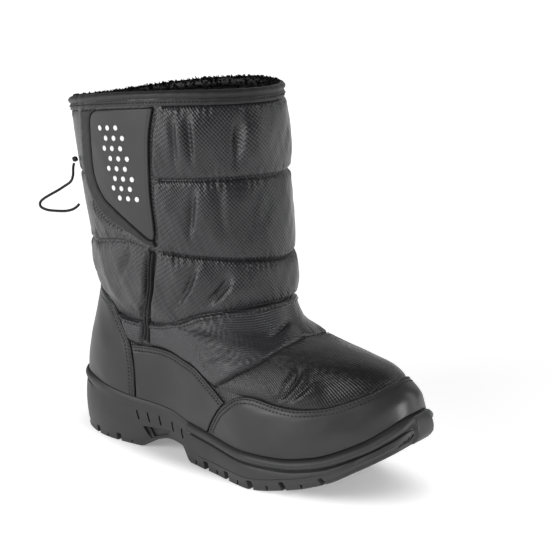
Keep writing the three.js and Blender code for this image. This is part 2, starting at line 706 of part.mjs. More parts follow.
// Panels are cut from one shell over the last, so they lie on the upper's own facets
const panelRows = 1 + ZONE_ROWS.length + 1;
const panelShell = shell(GAP, GAP + PANEL, 0, panelRows);
const counterCut = cutter(counterOutline(), true, true);
const toeCut = cutter(toeOutline(), true, true);
const sideCut = (outer) => cutter(sidePanelOutline(), outer, !outer)
  .subtract(grown(counterCut)).subtract(grown(toeCut));
const flapRows = [ROW_COUNT - 2 - 2 * BAND_ROWS.length - 1, ROW_COUNT - 1];
const flapCut = cutter(flapOutline(), true, false);
const bandCut = cutter(bandOutline(), true, false);
const flapSeat = shell(-RECESS, 3 * LOFT, ...flapRows).intersect(grown(bandCut.add(flapCut)));
const panelClearance = shell(GAP / 2, 3 * LOFT, 0, panelRows)
  .intersect(grown(counterCut.add(toeCut).add(sideCut(true)).add(sideCut(false))));
const upper = upperBody().subtract(flapSeat)
  .subtract(pipingBody(PIPING_HALF + GAP, pipingChannel, GAP / COLLAR_HEIGHT)).subtract(panelClearance);

const band = shell(GAP - RECESS, FLAP_BAND, ...flapRows).intersect(bandCut.subtract(grown(flapCut)));
const knot = new THREE.SphereGeometry(KNOT_RADIUS, 12, 8);
knot.translate(...KNOT_PLACE);

const boot = new THREE.Group();
boot.add(
  meshOf(outsoleBody(), 'outsole', 'rubber'),
  meshOf(insoleBody(), 'insole', 'felt'),
  meshOf(upper, 'upper', 'nylon'),
  meshOf(panelShell.intersect(toeCut), 'toe_cap', 'coated'),
  meshOf(panelShell.intersect(sideCut(true)), 'side_panel_outer', 'coated'),
  meshOf(panelShell.intersect(sideCut(false)), 'side_panel_inner', 'coated'),
  meshOf(panelShell.intersect(counterCut), 'heel_counter', 'coated'),
  meshOf(bindingBody(), 'collar_binding', 'binding'),
  meshOf(shell(GAP - RECESS, FLAP, ...flapRows).intersect(flapCut), 'closure_flap', 'coated'),
  meshOf(band, 'flap_binding', 'binding'),
  meshOf(pipingBody(PIPING_HALF, pipingRidges, 0), 'side_seam_piping', 'binding'),
  meshOf(solidOf(cordGeometry()), 'drawcord', 'elastic'),
  meshOf(solidOf(knot), 'cord_knot', 'elastic'),
);

// The origin is under the middle of the boot, on the floor
const box = new THREE.Box3();
for (const mesh of boot.children.filter(({ name }) => name !== 'drawcord' && name !== 'cord_knot')) {
  box.expandByObject(mesh);
}
const middle = box.getCenter(new THREE.Vector3());
boot.position.set(-middle.x, -middle.y, -box.min.z);

export default boot;
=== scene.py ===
"""Quilted winter boot for the right foot, dressed for the render.

Every piece is shaped in the model's own frame, in millimetres: x runs from heel to toe, the outer side of
the foot is at -y and +z is up. A place on the upper is a turn and an up. The turn is the share of the way
from the heel (0) to the toe (1), negative on the inner side. The up is the share of the way from the sole (0)
to the collar (1).
"""

import logging
import math
from dataclasses import dataclass, field
from typing import Callable, Mapping, NamedTuple, Sequence

import bmesh
import bpy
import numpy as np
from mathutils import Matrix, Vector

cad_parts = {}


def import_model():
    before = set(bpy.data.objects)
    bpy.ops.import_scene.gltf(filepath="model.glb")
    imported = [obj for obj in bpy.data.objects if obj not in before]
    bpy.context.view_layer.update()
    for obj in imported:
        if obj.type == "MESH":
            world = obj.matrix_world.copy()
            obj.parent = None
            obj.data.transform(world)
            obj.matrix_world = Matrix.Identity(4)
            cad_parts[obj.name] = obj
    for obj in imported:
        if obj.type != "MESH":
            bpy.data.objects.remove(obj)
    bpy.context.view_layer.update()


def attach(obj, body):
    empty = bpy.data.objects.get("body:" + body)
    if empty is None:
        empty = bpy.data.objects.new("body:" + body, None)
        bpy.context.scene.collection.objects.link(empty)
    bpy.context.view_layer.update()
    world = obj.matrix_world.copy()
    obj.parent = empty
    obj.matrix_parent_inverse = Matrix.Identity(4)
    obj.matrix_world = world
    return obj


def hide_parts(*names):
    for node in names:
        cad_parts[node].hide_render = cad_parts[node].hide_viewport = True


log = logging.getLogger("boot")

MM = 0.001
PI = math.pi
SHIFT = np.array([-148.861, -0.144, 0.0])
BODY = "root"
WELD = 0.004
Array = np.ndarray
Spot = tuple[float, float, float]


# Tables

class PlanRow(NamedTuple):
    """Half width of the foot over the sine of the angle round it, in ball halves."""

    at: float
    outer: float
    inner: float


class SoleRow(NamedTuple):
    """Height of the sole in heel heights at a share of its length."""

    at: float
    z: float


class Section(NamedTuple):
    """Level section of the upper."""

    up: float
    back_z: float
    front_z: float
    back_x: float
    front_x: float
    half: float
    foot: float
    sole: float


class Mark(NamedTuple):
    """Place on the upper."""

    turn: float
    up: float


class LugGap(NamedTuple):
    """Cut across the tread: its place along the sole, its width and its depth in millimetres."""

    at: float
    width: float
    depth: float


class Corner(NamedTuple):
    """Corner of the window on the arch, in millimetres from the heel and over the floor."""

    x: float
    z: float


class Slot(NamedTuple):
    """Slot in the wall of the sole: its turn, its drop below the rim and its lean."""

    turn: float
    drop: float
    lean: float


class Crease(NamedTuple):
    """Fold in the quilted cloth between two places, with its depth and width in millimetres."""

    start: Mark
    end: Mark
    depth: float
    width: float
    ridge: float


PLAN = (
    PlanRow(0.00, 1.280, 1.280), PlanRow(0.12, 1.020, 0.990), PlanRow(0.35, 0.710, 0.610),
    PlanRow(0.50, 0.820, 0.670), PlanRow(0.65, 1.035, 0.920), PlanRow(0.72, 1.080, 1.010),
    PlanRow(0.80, 1.105, 1.100), PlanRow(0.93, 1.050, 1.190), PlanRow(1.00, 1.180, 1.250),
)
SOLE_TOP = (
    SoleRow(0.000, 1.000), SoleRow(0.087, 0.978), SoleRow(0.167, 0.902), SoleRow(0.240, 0.833),
    SoleRow(0.360, 0.778), SoleRow(0.427, 0.687), SoleRow(0.500, 0.641), SoleRow(0.567, 0.604),
    SoleRow(0.620, 0.585), SoleRow(0.720, 0.602), SoleRow(0.807, 0.698), SoleRow(0.900, 0.961),
    SoleRow(0.947, 1.180), SoleRow(0.980, 1.370), SoleRow(1.000, 1.430),
)
SOLE_BOTTOM = (
    SoleRow(0.000, 0.000), SoleRow(0.257, 0.000), SoleRow(0.300, 0.152), SoleRow(0.360, 0.260),
    SoleRow(0.400, 0.233), SoleRow(0.433, 0.000), SoleRow(0.633, 0.000), SoleRow(0.750, 0.130),
    SoleRow(0.847, 0.326), SoleRow(0.900, 0.522), SoleRow(0.970, 0.804), SoleRow(1.000, 0.950),
)
SECTIONS = (
    Section(0.00, 0.000, 0.000, 0.013, 0.982, 0.945, 1.00, 1.00),
    Section(0.08, 0.047, 0.047, 0.017, 0.972, 0.955, 1.00, 1.00),
    Section(0.16, 0.107, 0.107, 0.027, 0.943, 0.939, 1.00, 1.00),
    Section(0.24, 0.162, 0.166, 0.037, 0.903, 0.887, 0.92, 1.00),
    Section(0.32, 0.213, 0.219, 0.047, 0.840, 0.835, 0.70, 1.00),
    Section(0.39, 0.257, 0.256, 0.055, 0.757, 0.800, 0.42, 1.00),
    Section(0.45, 0.300, 0.286, 0.062, 0.680, 0.800, 0.20, 0.90),
    Section(0.51, 0.364, 0.340, 0.065, 0.633, 0.835, 0.05, 0.65),
    Section(0.58, 0.443, 0.435, 0.063, 0.610, 0.870, 0.00, 0.35),
    Section(0.66, 0.542, 0.557, 0.052, 0.607, 0.913, 0.00, 0.00),
    Section(0.82, 0.751, 0.787, 0.022, 0.588, 0.991, 0.00, 0.00),
    Section(1.00, 0.990, 1.068, -0.011, 0.570, 1.022, 0.00, 0.00),
)
LOW_SEAM = (
    Mark(0.000, 0.445), Mark(0.100, 0.440), Mark(0.157, 0.423), Mark(0.245, 0.391), Mark(0.271, 0.355),
    Mark(0.291, 0.299), Mark(0.312, 0.242), Mark(0.360, 0.248), Mark(0.420, 0.257), Mark(0.480, 0.257),
    Mark(0.509, 0.228), Mark(0.532, 0.214), Mark(0.555, 0.238), Mark(0.623, 0.309), Mark(0.711, 0.369),
    Mark(0.847, 0.431), Mark(1.000, 0.465),
)
ANKLE_SEAM = (
    Mark(0.00, 0.345), Mark(0.28, 0.351), Mark(0.42, 0.379), Mark(0.54, 0.470), Mark(0.66, 0.547),
    Mark(0.80, 0.579), Mark(0.92, 0.593), Mark(1.00, 0.595),
)
CALF_SEAM = (
    Mark(0.00, 0.700), Mark(0.27, 0.711), Mark(0.45, 0.727), Mark(0.56, 0.713), Mark(0.77, 0.701),
    Mark(1.00, 0.692),
)
TOE_SIDE = (
    Mark(0.503, 0.000), Mark(0.515, 0.066), Mark(0.535, 0.124), Mark(0.565, 0.176), Mark(0.589, 0.208),
    Mark(0.615, 0.224),
)
TOE_TOP = (
    Mark(0.615, 0.224), Mark(0.639, 0.224), Mark(0.663, 0.214), Mark(0.693, 0.204), Mark(0.721, 0.196),
    Mark(0.759, 0.190), Mark(0.813, 0.186), Mark(0.932, 0.184), Mark(1.000, 0.188),
)
COUNTER_SIDE = (
    Mark(0.325, 0.000), Mark(0.325, 0.062), Mark(0.323, 0.126), Mark(0.317, 0.184), Mark(0.309, 0.242),
    Mark(0.291, 0.299), Mark(0.271, 0.355),
)
COUNTER_TOP = (Mark(0.271, 0.355), Mark(0.245, 0.388), Mark(0.157, 0.421), Mark(0.000, 0.442))
SIDE_PANEL_TOP = (
    Mark(0.319, 0.230), Mark(0.363, 0.244), Mark(0.420, 0.253), Mark(0.480, 0.253), Mark(0.509, 0.224),
    Mark(0.547, 0.184),
)
FLAP_FRONT = (
    Mark(0.556, 0.736), Mark(0.563, 0.748), Mark(0.567, 0.776), Mark(0.571, 0.840), Mark(0.581, 0.906),
    Mark(0.589, 0.940), Mark(0.606, 0.978),
)
FLAP_FOOT = (
    Mark(0.556, 0.736), Mark(0.539, 0.738), Mark(0.495, 0.762), Mark(0.447, 0.786), Mark(0.401, 0.808),
)
FLAP_REAR = (
    Mark(0.401, 0.808), Mark(0.373, 0.836), Mark(0.363, 0.872), Mark(0.371, 0.918), Mark(0.378, 0.953),
    Mark(0.392, 0.971), Mark(0.416, 0.978),
)
BAND_REAR = (
    Mark(0.560, 0.724), Mark(0.543, 0.723), Mark(0.505, 0.735), Mark(0.455, 0.752), Mark(0.395, 0.770),
    Mark(0.351, 0.792), Mark(0.319, 0.820), Mark(0.303, 0.854), Mark(0.309, 0.898), Mark(0.325, 0.946),
    Mark(0.335, 0.978),
)
PIPING_PATH = (
    Mark(0.356, 0.262), Mark(0.385, 0.369), Mark(0.430, 0.445), Mark(0.493, 0.555), Mark(0.527, 0.671),
    Mark(0.543, 0.712),
)
CREASES = (
    Crease(Mark(0.659, 0.972), Mark(0.657, 0.862), 2.2, 2.2, 1.3),
    Crease(Mark(0.701, 0.972), Mark(0.703, 0.872), 2.8, 2.3, 1.6),
    Crease(Mark(0.861, 0.972), Mark(0.823, 0.856), 3.0, 3.4, 1.8),
    Crease(Mark(0.705, 0.850), Mark(0.665, 0.729), 2.2, 2.2, 1.2),
    Crease(Mark(0.775, 0.850), Mark(0.768, 0.725), 1.6, 3.4, 1.0),
    Crease(Mark(0.687, 0.708), Mark(0.561, 0.521), 2.6, 2.2, 1.6),
    Crease(Mark(0.787, 0.681), Mark(0.671, 0.573), 3.6, 3.0, 2.2),
    Crease(Mark(0.998, 0.541), Mark(0.791, 0.443), 2.6, 2.4, 1.6),
    Crease(Mark(0.531, 0.323), Mark(0.693, 0.395), 1.8, 2.0, 1.0),
    Crease(Mark(0.521, 0.273), Mark(0.561, 0.319), 1.4, 1.6, 0.9),
    Crease(Mark(0.802, 0.358), Mark(0.673, 0.214), 3.0, 2.2, 1.8),
    Crease(Mark(0.806, 0.312), Mark(0.693, 0.214), 2.4, 2.0, 1.4),
    Crease(Mark(0.475, 0.718), Mark(0.385, 0.630), 2.2, 2.2, 1.4),
)
LUG_GAPS = (
    LugGap(0.110, 4.6, 6.5), LugGap(0.190, 4.6, 6.5), LugGap(0.495, 5.0, 7.5), LugGap(0.573, 5.0, 7.5),
    LugGap(0.655, 5.0, 7.5), LugGap(0.745, 4.0, 7.0), LugGap(0.837, 3.4, 6.0),
)
SIPES = (
    LugGap(0.070, 1.2, 3.2), LugGap(0.150, 1.2, 3.2), LugGap(0.232, 1.2, 3.2), LugGap(0.455, 1.4, 4.5),
    LugGap(0.535, 1.4, 4.5), LugGap(0.613, 1.4, 4.5), LugGap(0.703, 1.4, 4.5), LugGap(0.790, 1.4, 4.0),
)
LUG_CHANNELS = ((0.030, 0.245), (0.445, 0.700))
ARCH_WINDOW = (Corner(82.0, 17.5), Corner(110.0, 20.0), Corner(107.0, 14.6), Corner(88.0, 8.4))
WALL_SLOTS = (
    Slot(0.338, 12.5, -0.4), Slot(0.362, 12.0, -0.4), Slot(0.388, 11.5, -0.4), Slot(0.418, 11.5, -0.4),
    Slot(0.441, 11.5, -0.4),
)
TOE_RIBS = (Slot(0.898, 15.5, 0.6), Slot(0.912, 15.0, 0.6), Slot(0.926, 14.5, 0.6), Slot(0.940, 14.0, 0.6))
CORD_ROUTE = (
    (18.9, -38.9, 208.2), (18.6, -39.6, 205.6), (18.9, -40.2, 203.0), (19.4, -40.9, 200.0),
    (19.4, -42.0, 197.0), (18.5, -43.4, 194.5), (15.5, -46.2, 191.7), (12.0, -49.8, 188.6),
    (8.2, -53.7, 185.7), (5.2, -56.9, 183.2), (3.4, -58.9, 181.0), (3.1, -59.8, 178.9), (4.0, -59.7, 176.9),
    (6.2, -58.5, 175.5), (8.8, -56.8, 174.6), (11.5, -54.9, 174.2), (17.1, -50.9, 173.9),
    (20.3, -48.5, 174.2), (23.1, -46.2, 175.2), (25.3, -44.3, 177.0), (26.7, -42.6, 179.2),
)
KNOT_PLACE = (19.5, -38.4, 211.2)


# Numbers and curves

def ease(value: Array | float) -> Array:
    """Smooth step from 0 to 1 for a value that runs from 0 to 1."""
    t = np.clip(value, 0.0, 1.0)
    return t * t * (3.0 - 2.0 * t)


def hump(distance: Array, width: float | Array) -> Array:
    """Rounded hump of height 1 at distance 0."""
    return np.exp(-(distance / width) ** 2)


def rounded(share: Array) -> Array:
    """Quarter round that rises from 0 at share 0 to 1 at share 1, and stays there."""
    return np.sqrt(1 - (1 - np.clip(share, 0, 1)) ** 2)


def unit(ways: Array) -> Array:
    """Directions brought to length 1."""
    return ways / np.linalg.norm(ways, axis=-1, keepdims=True)


class Curve:
    """Smooth curve through a short table, without overshoot."""

    def __init__(self, places: Sequence[float], values: Sequence[float]) -> None:
        """Keep the table and work out its slopes.

        Args:
            places: Rising places along the table.
            values: The value at each place.
        """
        self.xs = np.asarray(places, float)
        self.ys = np.asarray(values, float)
        slopes = np.diff(self.ys) / np.diff(self.xs)
        before, after = slopes[:-1], slopes[1:]
        same_way = before * after > 0
        total = np.where(same_way, before + after, 1.0)
        middle = np.where(same_way, 2.0 * before * after / total, 0.0)
        self.tangents = np.concatenate([slopes[:1], middle, slopes[-1:]])

    def __call__(self, place: Array | float) -> Array:
        """Value of the curve at each place."""
        q = np.clip(place, self.xs[0], self.xs[-1])
        i = np.clip(np.searchsorted(self.xs, q, side="right") - 1, 0, len(self.xs) - 2)
        h = self.xs[i + 1] - self.xs[i]
        t = (q - self.xs[i]) / h
        blend = t * t * (3 - 2 * t)
        leave = t * (1 - t) * (1 - t) * h * self.tangents[i]
        arrive = t * t * (t - 1) * h * self.tangents[i + 1]
        return self.ys[i] * (1 - blend) + self.ys[i + 1] * blend + leave + arrive


def column(table: Sequence[NamedTuple], key: str, value: str) -> Curve:
    """Curve through two named columns of a table."""
    return Curve([getattr(row, key) for row in table], [getattr(row, value) for row in table])


def smooth_line(marks: Sequence[Sequence[float]], steps: int = 96) -> Array:
    """Smooth line through a few points.

    Args:
        marks: The points, of any dimension.
        steps: Number of steps along the line.

    Returns:
        The points of the line, one a row.
    """
    points = np.asarray(marks, float)
    last = len(points) - 1
    place = np.linspace(0.0, last, steps + 1)
    i = np.minimum(place.astype(int), last - 1)
    t = (place - i)[:, None]
    a, b = points[np.maximum(i - 1, 0)], points[i]
    c, d = points[i + 1], points[np.minimum(i + 2, last)]
    leave, arrive = (c - a) / 2, (d - b) / 2
    cubic = 2 * b - 2 * c + leave + arrive
    square = 3 * c - 3 * b - 2 * leave - arrive
    return cubic * t ** 3 + square * t ** 2 + leave * t + b


class Ripples:
    """Gentle seeded waves over the cloth, with a given length across and along."""

    def __init__(self, seed: int, across: float, along: float, count: int = 9) -> None:
        """Draw the waves.

        Args:
            seed: Seed of the draw.
            across: Typical wave length in the first direction, in millimetres.
            along: Typical wave length in the second direction, in millimetres.
            count: Number of waves.
        """
        draw = np.random.default_rng(seed)
        self.across = draw.uniform(0.6, 1.6, count) / across * draw.choice([-1.0, 1.0], count)
        self.along = draw.uniform(0.4, 1.5, count) / along
        self.phase = draw.uniform(0.0, 2 * PI, count)

    def __call__(self, cloth: Array) -> Array:
        """Height of the waves at cloth coordinates, about -1 to 1."""
        total = np.zeros(cloth.shape[:-1])
        for across, along, phase in zip(self.across, self.along, self.phase):
            total += np.sin(2 * PI * (cloth[..., 0] * across + cloth[..., 1] * along) + phase)
        return total / math.sqrt(2.0 * len(self.phase)) * 0.8


# The last that everything is sewn to or stands on

@dataclass
class Last:
    """Surface of the foot and leg under the cloth, and the outline of the sole."""

    sole_length: float = 300.0
    ball_half: float = 57.5
    heel_height: float = 46.0
    collar_height: float = 253.0
    side_lift: float = 4.5
    lift_from: float = 0.7
    step: float = 4e-4

    def __post_init__(self) -> None:
        """Make the curves of the tables."""
        angles = [math.acos(1 - 2 * row.at) / PI for row in PLAN]
        self.plan_outer = Curve(angles, [row.outer for row in PLAN])
        self.plan_inner = Curve(angles, [row.inner for row in PLAN])
        self.top_share = column(SOLE_TOP, "at", "z")
        self.bottom_share = column(SOLE_BOTTOM, "at", "z")
        self.section = {name: column(SECTIONS, "up", name) for name in Section._fields[1:]}

    def plan(self, turn: Array) -> Array:
        """Share of the foot's half width at each turn."""
        turn = (turn + 1) % 2 - 1
        return np.where(turn < 0, self.plan_inner(np.abs(turn)), self.plan_outer(np.abs(turn)))

    def sole_top(self, x: Array) -> Array:
        """Height of the sole's top edge."""
        return self.heel_height * self.top_share(x / self.sole_length)

    def sole_bottom(self, x: Array) -> Array:
        """Height of the tread."""
        return self.heel_height * self.bottom_share(x / self.sole_length)

    def point(self, turn: Array | float, up: Array | float) -> Array:
        """Places on the outside of the upper, without quilting."""
        turn, up = np.broadcast_arrays(np.asarray(turn, float), np.asarray(up, float))
        share = {name: curve(up) for name, curve in self.section.items()}
        sine, along = np.sin(turn * PI), (1 - np.cos(turn * PI)) / 2
        x = self.sole_length * (share["back_x"] * (1 - along) + share["front_x"] * along)
        width = share["foot"] * self.plan(turn) + 1 - share["foot"]
        rise = self.collar_height * (share["back_z"] * (1 - along) + share["front_z"] * along)
        lift = self.side_lift * sine ** 2 * np.clip((up - self.lift_from) / (1 - self.lift_from), 0, 1) ** 2
        z = rise + share["sole"] * self.sole_top(x) + lift
        return np.stack([x, -sine * self.ball_half * share["half"] * width, z], -1)

    def tangents(self, turn: Array, up: Array) -> tuple[Array, Array]:
        """Change of place for a whole turn and for the whole height."""
        low, high = np.clip(up - self.step, 0, 1), np.clip(up + self.step, 0, 1)
        along = (self.point(turn + self.step, up) - self.point(turn - self.step, up)) / (2 * self.step)
        upward = (self.point(turn, high) - self.point(turn, low)) / (high - low)[..., None]
        return along, upward

    def normal(self, turn: Array, up: Array) -> Array:
        """Outward directions."""
        return unit(np.cross(*self.tangents(turn, up)))

    def off(self, turn: Array | float, up: Array | float, height: Array | float) -> Array:
        """Places at a height over the last."""
        turn, up = np.broadcast_arrays(np.asarray(turn, float), np.asarray(up, float))
        return self.point(turn, up) + self.normal(turn, up) * np.asarray(height)[..., None]

    def walk(self, turn: Array, up: Array, way: Array) -> tuple[Array, Array]:
        """Turn and up after a small step over the surface.

        Args:
            turn: Turns at the start.
            up: Ups at the start.
            way: The step in millimetres, in the tangent plane.

        Returns:
            The new turns and ups.
        """
        along, upward = self.tangents(turn, up)
        aa, bb = (along * along).sum(-1), (upward * upward).sum(-1)
        ab, aw, bw = (along * upward).sum(-1), (along * way).sum(-1), (upward * way).sum(-1)
        scale = aa * bb - ab * ab
        return turn + (aw * bb - bw * ab) / scale, up + (bw * aa - aw * ab) / scale

    def spaced(self, line: Array, shares: Array) -> Array:
        """Places of a line at shares of its length in millimetres."""
        points = self.point(line[:, 0], line[:, 1])
        length = np.concatenate([[0.0], np.cumsum(np.linalg.norm(np.diff(points, axis=0), axis=1))])
        at = shares * length[-1]
        return np.stack([np.interp(at, length, line[:, k]) for k in range(2)], -1)

    def length(self, line: Array) -> float:
        """Length of a line on the last in millimetres."""
        points = self.point(line[:, 0], line[:, 1])
        return float(np.linalg.norm(np.diff(points, axis=0), axis=1).sum())

    def plain(self, turn: Array) -> Array:
        """Outline of the sole seen from above."""
        y = -np.sin(turn * PI) * self.plan(turn) * self.ball_half
        return np.stack([self.along(turn), y, 0 * turn], -1)

    def along(self, turn: Array) -> Array:
        """Millimetres from the heel's end at each turn."""
        return self.sole_length * (1 - np.cos(turn * PI)) / 2

    def moved(self, line: Callable[[Array], Array], turn: Array, out: Array | float,
              z: Array | float) -> Array:
        """Places of a level outline after a move.

        Args:
            line: The outline as a function of the turn.
            turn: Turns of the places.
            out: Distance that they move outwards.
            z: Height that they get.

        Returns:
            The places.
        """
        way = line(turn + self.step) - line(turn - self.step)
        outward = unit(np.stack([way[..., 1], -way[..., 0], 0 * turn], -1))
        places = line(turn) + outward * np.broadcast_to(out, turn.shape)[..., None]
        places[..., 2] = z
        return places

    def edge(self, turn: Array, inset: Array | float, z: Array | float) -> Array:
        """Outline of the sole, moved in by the inset, at height z."""
        return self.moved(self.plain, turn, -np.asarray(inset), z)

    def foot(self, turn: Array, distance: Array | float, z: Array | float) -> Array:
        """Foot of the upper, moved out by the distance, at height z."""
        return self.moved(lambda t: self.point(t, 0), turn, distance, z)


LAST = Last()


@dataclass
class Outline:
    """A line or a closed outline on the last."""

    line: Array

    def __post_init__(self) -> None:
        """Work out the places on the last."""
        self.points = LAST.point(self.line[:, 0], self.line[:, 1])

    def distance(self, places: Array) -> Array:
        """Distance of places from the line, in millimetres."""
        flat = places.reshape(-1, 3)
        nearest = np.full(len(flat), 1e9)
        for a, b in zip(self.points[:-1], self.points[1:]):
            way = b - a
            share = np.clip((flat - a) @ way / max(way @ way, 1e-12), 0, 1)
            np.minimum(nearest, np.linalg.norm(flat - a - share[:, None] * way, axis=1), out=nearest)
        return nearest.reshape(places.shape[:-1])

    def inside(self, turn: Array, up: Array) -> Array:
        """Whether places lie inside the closed outline."""
        hit = np.zeros(turn.shape, bool)
        ends = np.roll(self.line, -1, axis=0)
        for (x0, y0), (x1, y1) in zip(self.line, ends):
            if y0 == y1:
                continue
            crosses = (up < y0) != (up < y1)
            hit ^= crosses & (turn < x0 + (up - y0) / (y1 - y0) * (x1 - x0))
        return hit


class Seams:
    """Quilting seams of the upper, from the lowest to the binding."""

    top_up = 0.853
    binding_up = 0.981
    least_band = 0.03

    def __init__(self) -> None:
        """Make the curves of the seams."""
        self.low = column(LOW_SEAM, "turn", "up")
        self.ankle_table = column(ANKLE_SEAM, "turn", "up")
        self.calf = column(CALF_SEAM, "turn", "up")

    def ankle(self, turn: Array) -> Array:
        """Up of the seam round the ankle."""
        return np.maximum(self.ankle_table(turn), self.low(turn) + self.least_band)

    def all(self, turn: Array) -> list[Array]:
        """Ups of all seams at the turns, lowest first."""
        side = np.abs(turn)
        flat = np.ones_like(side)
        return [self.low(side), self.ankle(side), self.calf(side), self.top_up * flat, self.binding_up * flat]


SEAMS = Seams()


# Meshes

def to_mesh(name: str, build: bmesh.types.BMesh) -> bpy.types.Mesh:
    """Turn a finished build into a mesh."""
    mesh = bpy.data.meshes.new(name)
    build.to_mesh(mesh)
    build.free()
    return mesh


def stand(spot: Array, way: Array) -> Matrix:
    """Matrix that puts a shape at a place in millimetres, with its z axis along a direction."""
    turned = Vector((0, 0, 1)).rotation_difference(Vector(way)).to_matrix().to_4x4()
    return Matrix.Translation(Vector((spot + SHIFT) * MM)) @ turned


@dataclass
class Sheet:
    """Grid of places in millimetres, rows by columns, with cloth coordinates and painted marks."""

    places: Array
    cloth: Array | None = None
    marks: dict[str, Array] = field(default_factory=dict)

    def mesh(self, name: str) -> bpy.types.Mesh:
        """Mesh of the sheet, made from a plain grid whose points are moved to their places."""
        rows, columns = self.places.shape[:2]
        build = bmesh.new()
        build.loops.layers.uv.new("cloth")
        bmesh.ops.create_grid(build, x_segments=columns - 1, y_segments=rows - 1, size=0.5)
        mesh = to_mesh(name, build)
        flat = np.empty(3 * len(mesh.vertices))
        mesh.vertices.foreach_get("co", flat)
        spots = flat.reshape(-1, 3)
        i = np.rint((spots[:, 1] + 0.5) * (rows - 1)).astype(int)
        j = np.rint((spots[:, 0] + 0.5) * (columns - 1)).astype(int)
        mesh.vertices.foreach_set("co", ((self.places[i, j] + SHIFT) * MM).ravel())
        if self.cloth is not None:
            corners = np.empty(len(mesh.loops), np.int32)
            mesh.loops.foreach_get("vertex_index", corners)
            mesh.uv_layers["cloth"].data.foreach_set("uv", (self.cloth[i, j] * MM)[corners].ravel())
        for mark, values in self.marks.items():
            layer = mesh.attributes.new(mark, "FLOAT", "POINT")
            layer.data.foreach_set("value", values[i, j].astype(np.float32))
        return mesh


def cloth_of(places: Array, centre: int) -> Array:
    """Cloth coordinates of a grid: millimetres across from the centre column, and up from the first row."""
    across = np.linalg.norm(np.diff(places, axis=1), axis=-1)
    across = np.concatenate([np.zeros((len(places), 1)), np.cumsum(across, axis=1)], axis=1)
    upward = np.linalg.norm(np.diff(places, axis=0), axis=-1)
    upward = np.concatenate([np.zeros((1, places.shape[1])), np.cumsum(upward, axis=0)], axis=0)
    return np.stack([across - across[:, centre:centre + 1], upward], -1)


def fan(row: Array, keeps: Sequence[float]) -> list[Array]:
    """Rows between a row round the foot and the foot's middle line, where both sides meet.

    Args:
        row: Places round the foot, from the inner side over the toe's end to the outer side.
        keeps: Share of the way from the middle line to the row.

    Returns:
        The rows.
    """
    middle = (row + row[::-1]) / 2 * [1.0, 0.0, 1.0]
    return [middle + (row - middle) * keep for keep in keeps]


def closed(name: str, sheets: Sequence[Sheet]) -> bpy.types.Mesh:
    """One closed mesh from sheets that meet at their edges.

    Args:
        name: Name of the mesh.
        sheets: The outside, and the inside where there is one.

    Returns:
        The mesh, with its faces outward.
    """
    build = bmesh.new()
    for sheet in sheets:
        part = sheet.mesh(name)
        count = len(build.faces)
        build.from_mesh(part)
        bpy.data.meshes.remove(part)
        if count:
            build.faces.ensure_lookup_table()
            bmesh.ops.reverse_faces(build, faces=build.faces[count:])
    bmesh.ops.remove_doubles(build, verts=build.verts, dist=WELD * MM)
    bmesh.ops.dissolve_degenerate(build, edges=build.edges, dist=WELD * MM / 4)
    if build.calc_volume(signed=True) < 0:
        bmesh.ops.reverse_faces(build, faces=build.faces)
    return to_mesh(name, build)


def wrapped(name: str, rows: Sequence[Array]) -> bpy.types.Mesh:
    """Closed mesh from rows of places round the boot that end where they start."""
    places = np.array(rows)
    return closed(name, [Sheet(places, cloth_of(places, places.shape[1] // 2))])


def slab(name: str, grid: Array, height: Array, low: float, marks: dict[str, Array],
         lift: Array | float = 0.0) -> bpy.types.Mesh:
    """Closed mesh of a flat piece that is sewn on.

    Args:
        name: Name of the mesh.
        grid: Turns and ups of its grid.
        height: Height of its outside over the last.
        low: Height of its inside.
        marks: Painted marks.
        lift: Move of each place.

    Returns:
        The mesh.
    """
    turn, up = grid[..., 0], grid[..., 1]
    base, normal = LAST.point(turn, up), LAST.normal(turn, up)
    cloth = cloth_of(base, base.shape[1] // 2)
    sides = (height[..., None], low)
    return closed(name, [Sheet(base + normal * side + lift, cloth, marks) for side in sides])


def border(grid: Array) -> Array:
    """The four sides of a grid as one line."""
    return np.concatenate([grid[0], grid[1:, -1], grid[-1, ::-1][1:], grid[::-1, 0][1:]])


def place(name: str, mesh: bpy.types.Mesh, finish: "Finish", node: str | None = None,
          slot: str | None = None) -> bpy.types.Object:
    """Make a piece of the scene from a mesh.

    Args:
        name: Name of the piece.
        mesh: Its mesh.
        finish: Its material.
        node: CAD node that it stands for.
        slot: Material slot name, not used.

    Returns:
        The object, riding on the boot.
    """
    mesh.shade_smooth()
    mesh.name = name
    piece = bpy.data.objects.new(name, mesh)
    bpy.context.scene.collection.objects.link(piece)
    mesh.materials.clear()
    mesh.materials.append(finish.material())
    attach(piece, BODY)
    if node:
        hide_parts(node)
    log.info("%s: %d faces", name, len(mesh.polygons))
    return piece


class Heap:
    """Many small shapes gathered into one mesh, a few dozen at a time, which keeps the building quick."""

    limit = 60

    def __init__(self) -> None:
        """Start with nothing gathered."""
        self.whole = bmesh.new()
        self.few = bmesh.new()
        self.count = 0

    def room(self) -> bmesh.types.BMesh:
        """Mesh that takes the next shape."""
        if self.count == self.limit:
            self.gather()
        self.count += 1
        return self.few

    def gather(self) -> None:
        """Move the few shapes to the whole."""
        part = to_mesh("few", self.few)
        self.whole.from_mesh(part)
        bpy.data.meshes.remove(part)
        self.few, self.count = bmesh.new(), 0

    def mesh(self, name: str) -> bpy.types.Mesh:
        """Mesh of everything gathered."""
        self.gather()
        self.few.free()
        return to_mesh(name, self.whole)


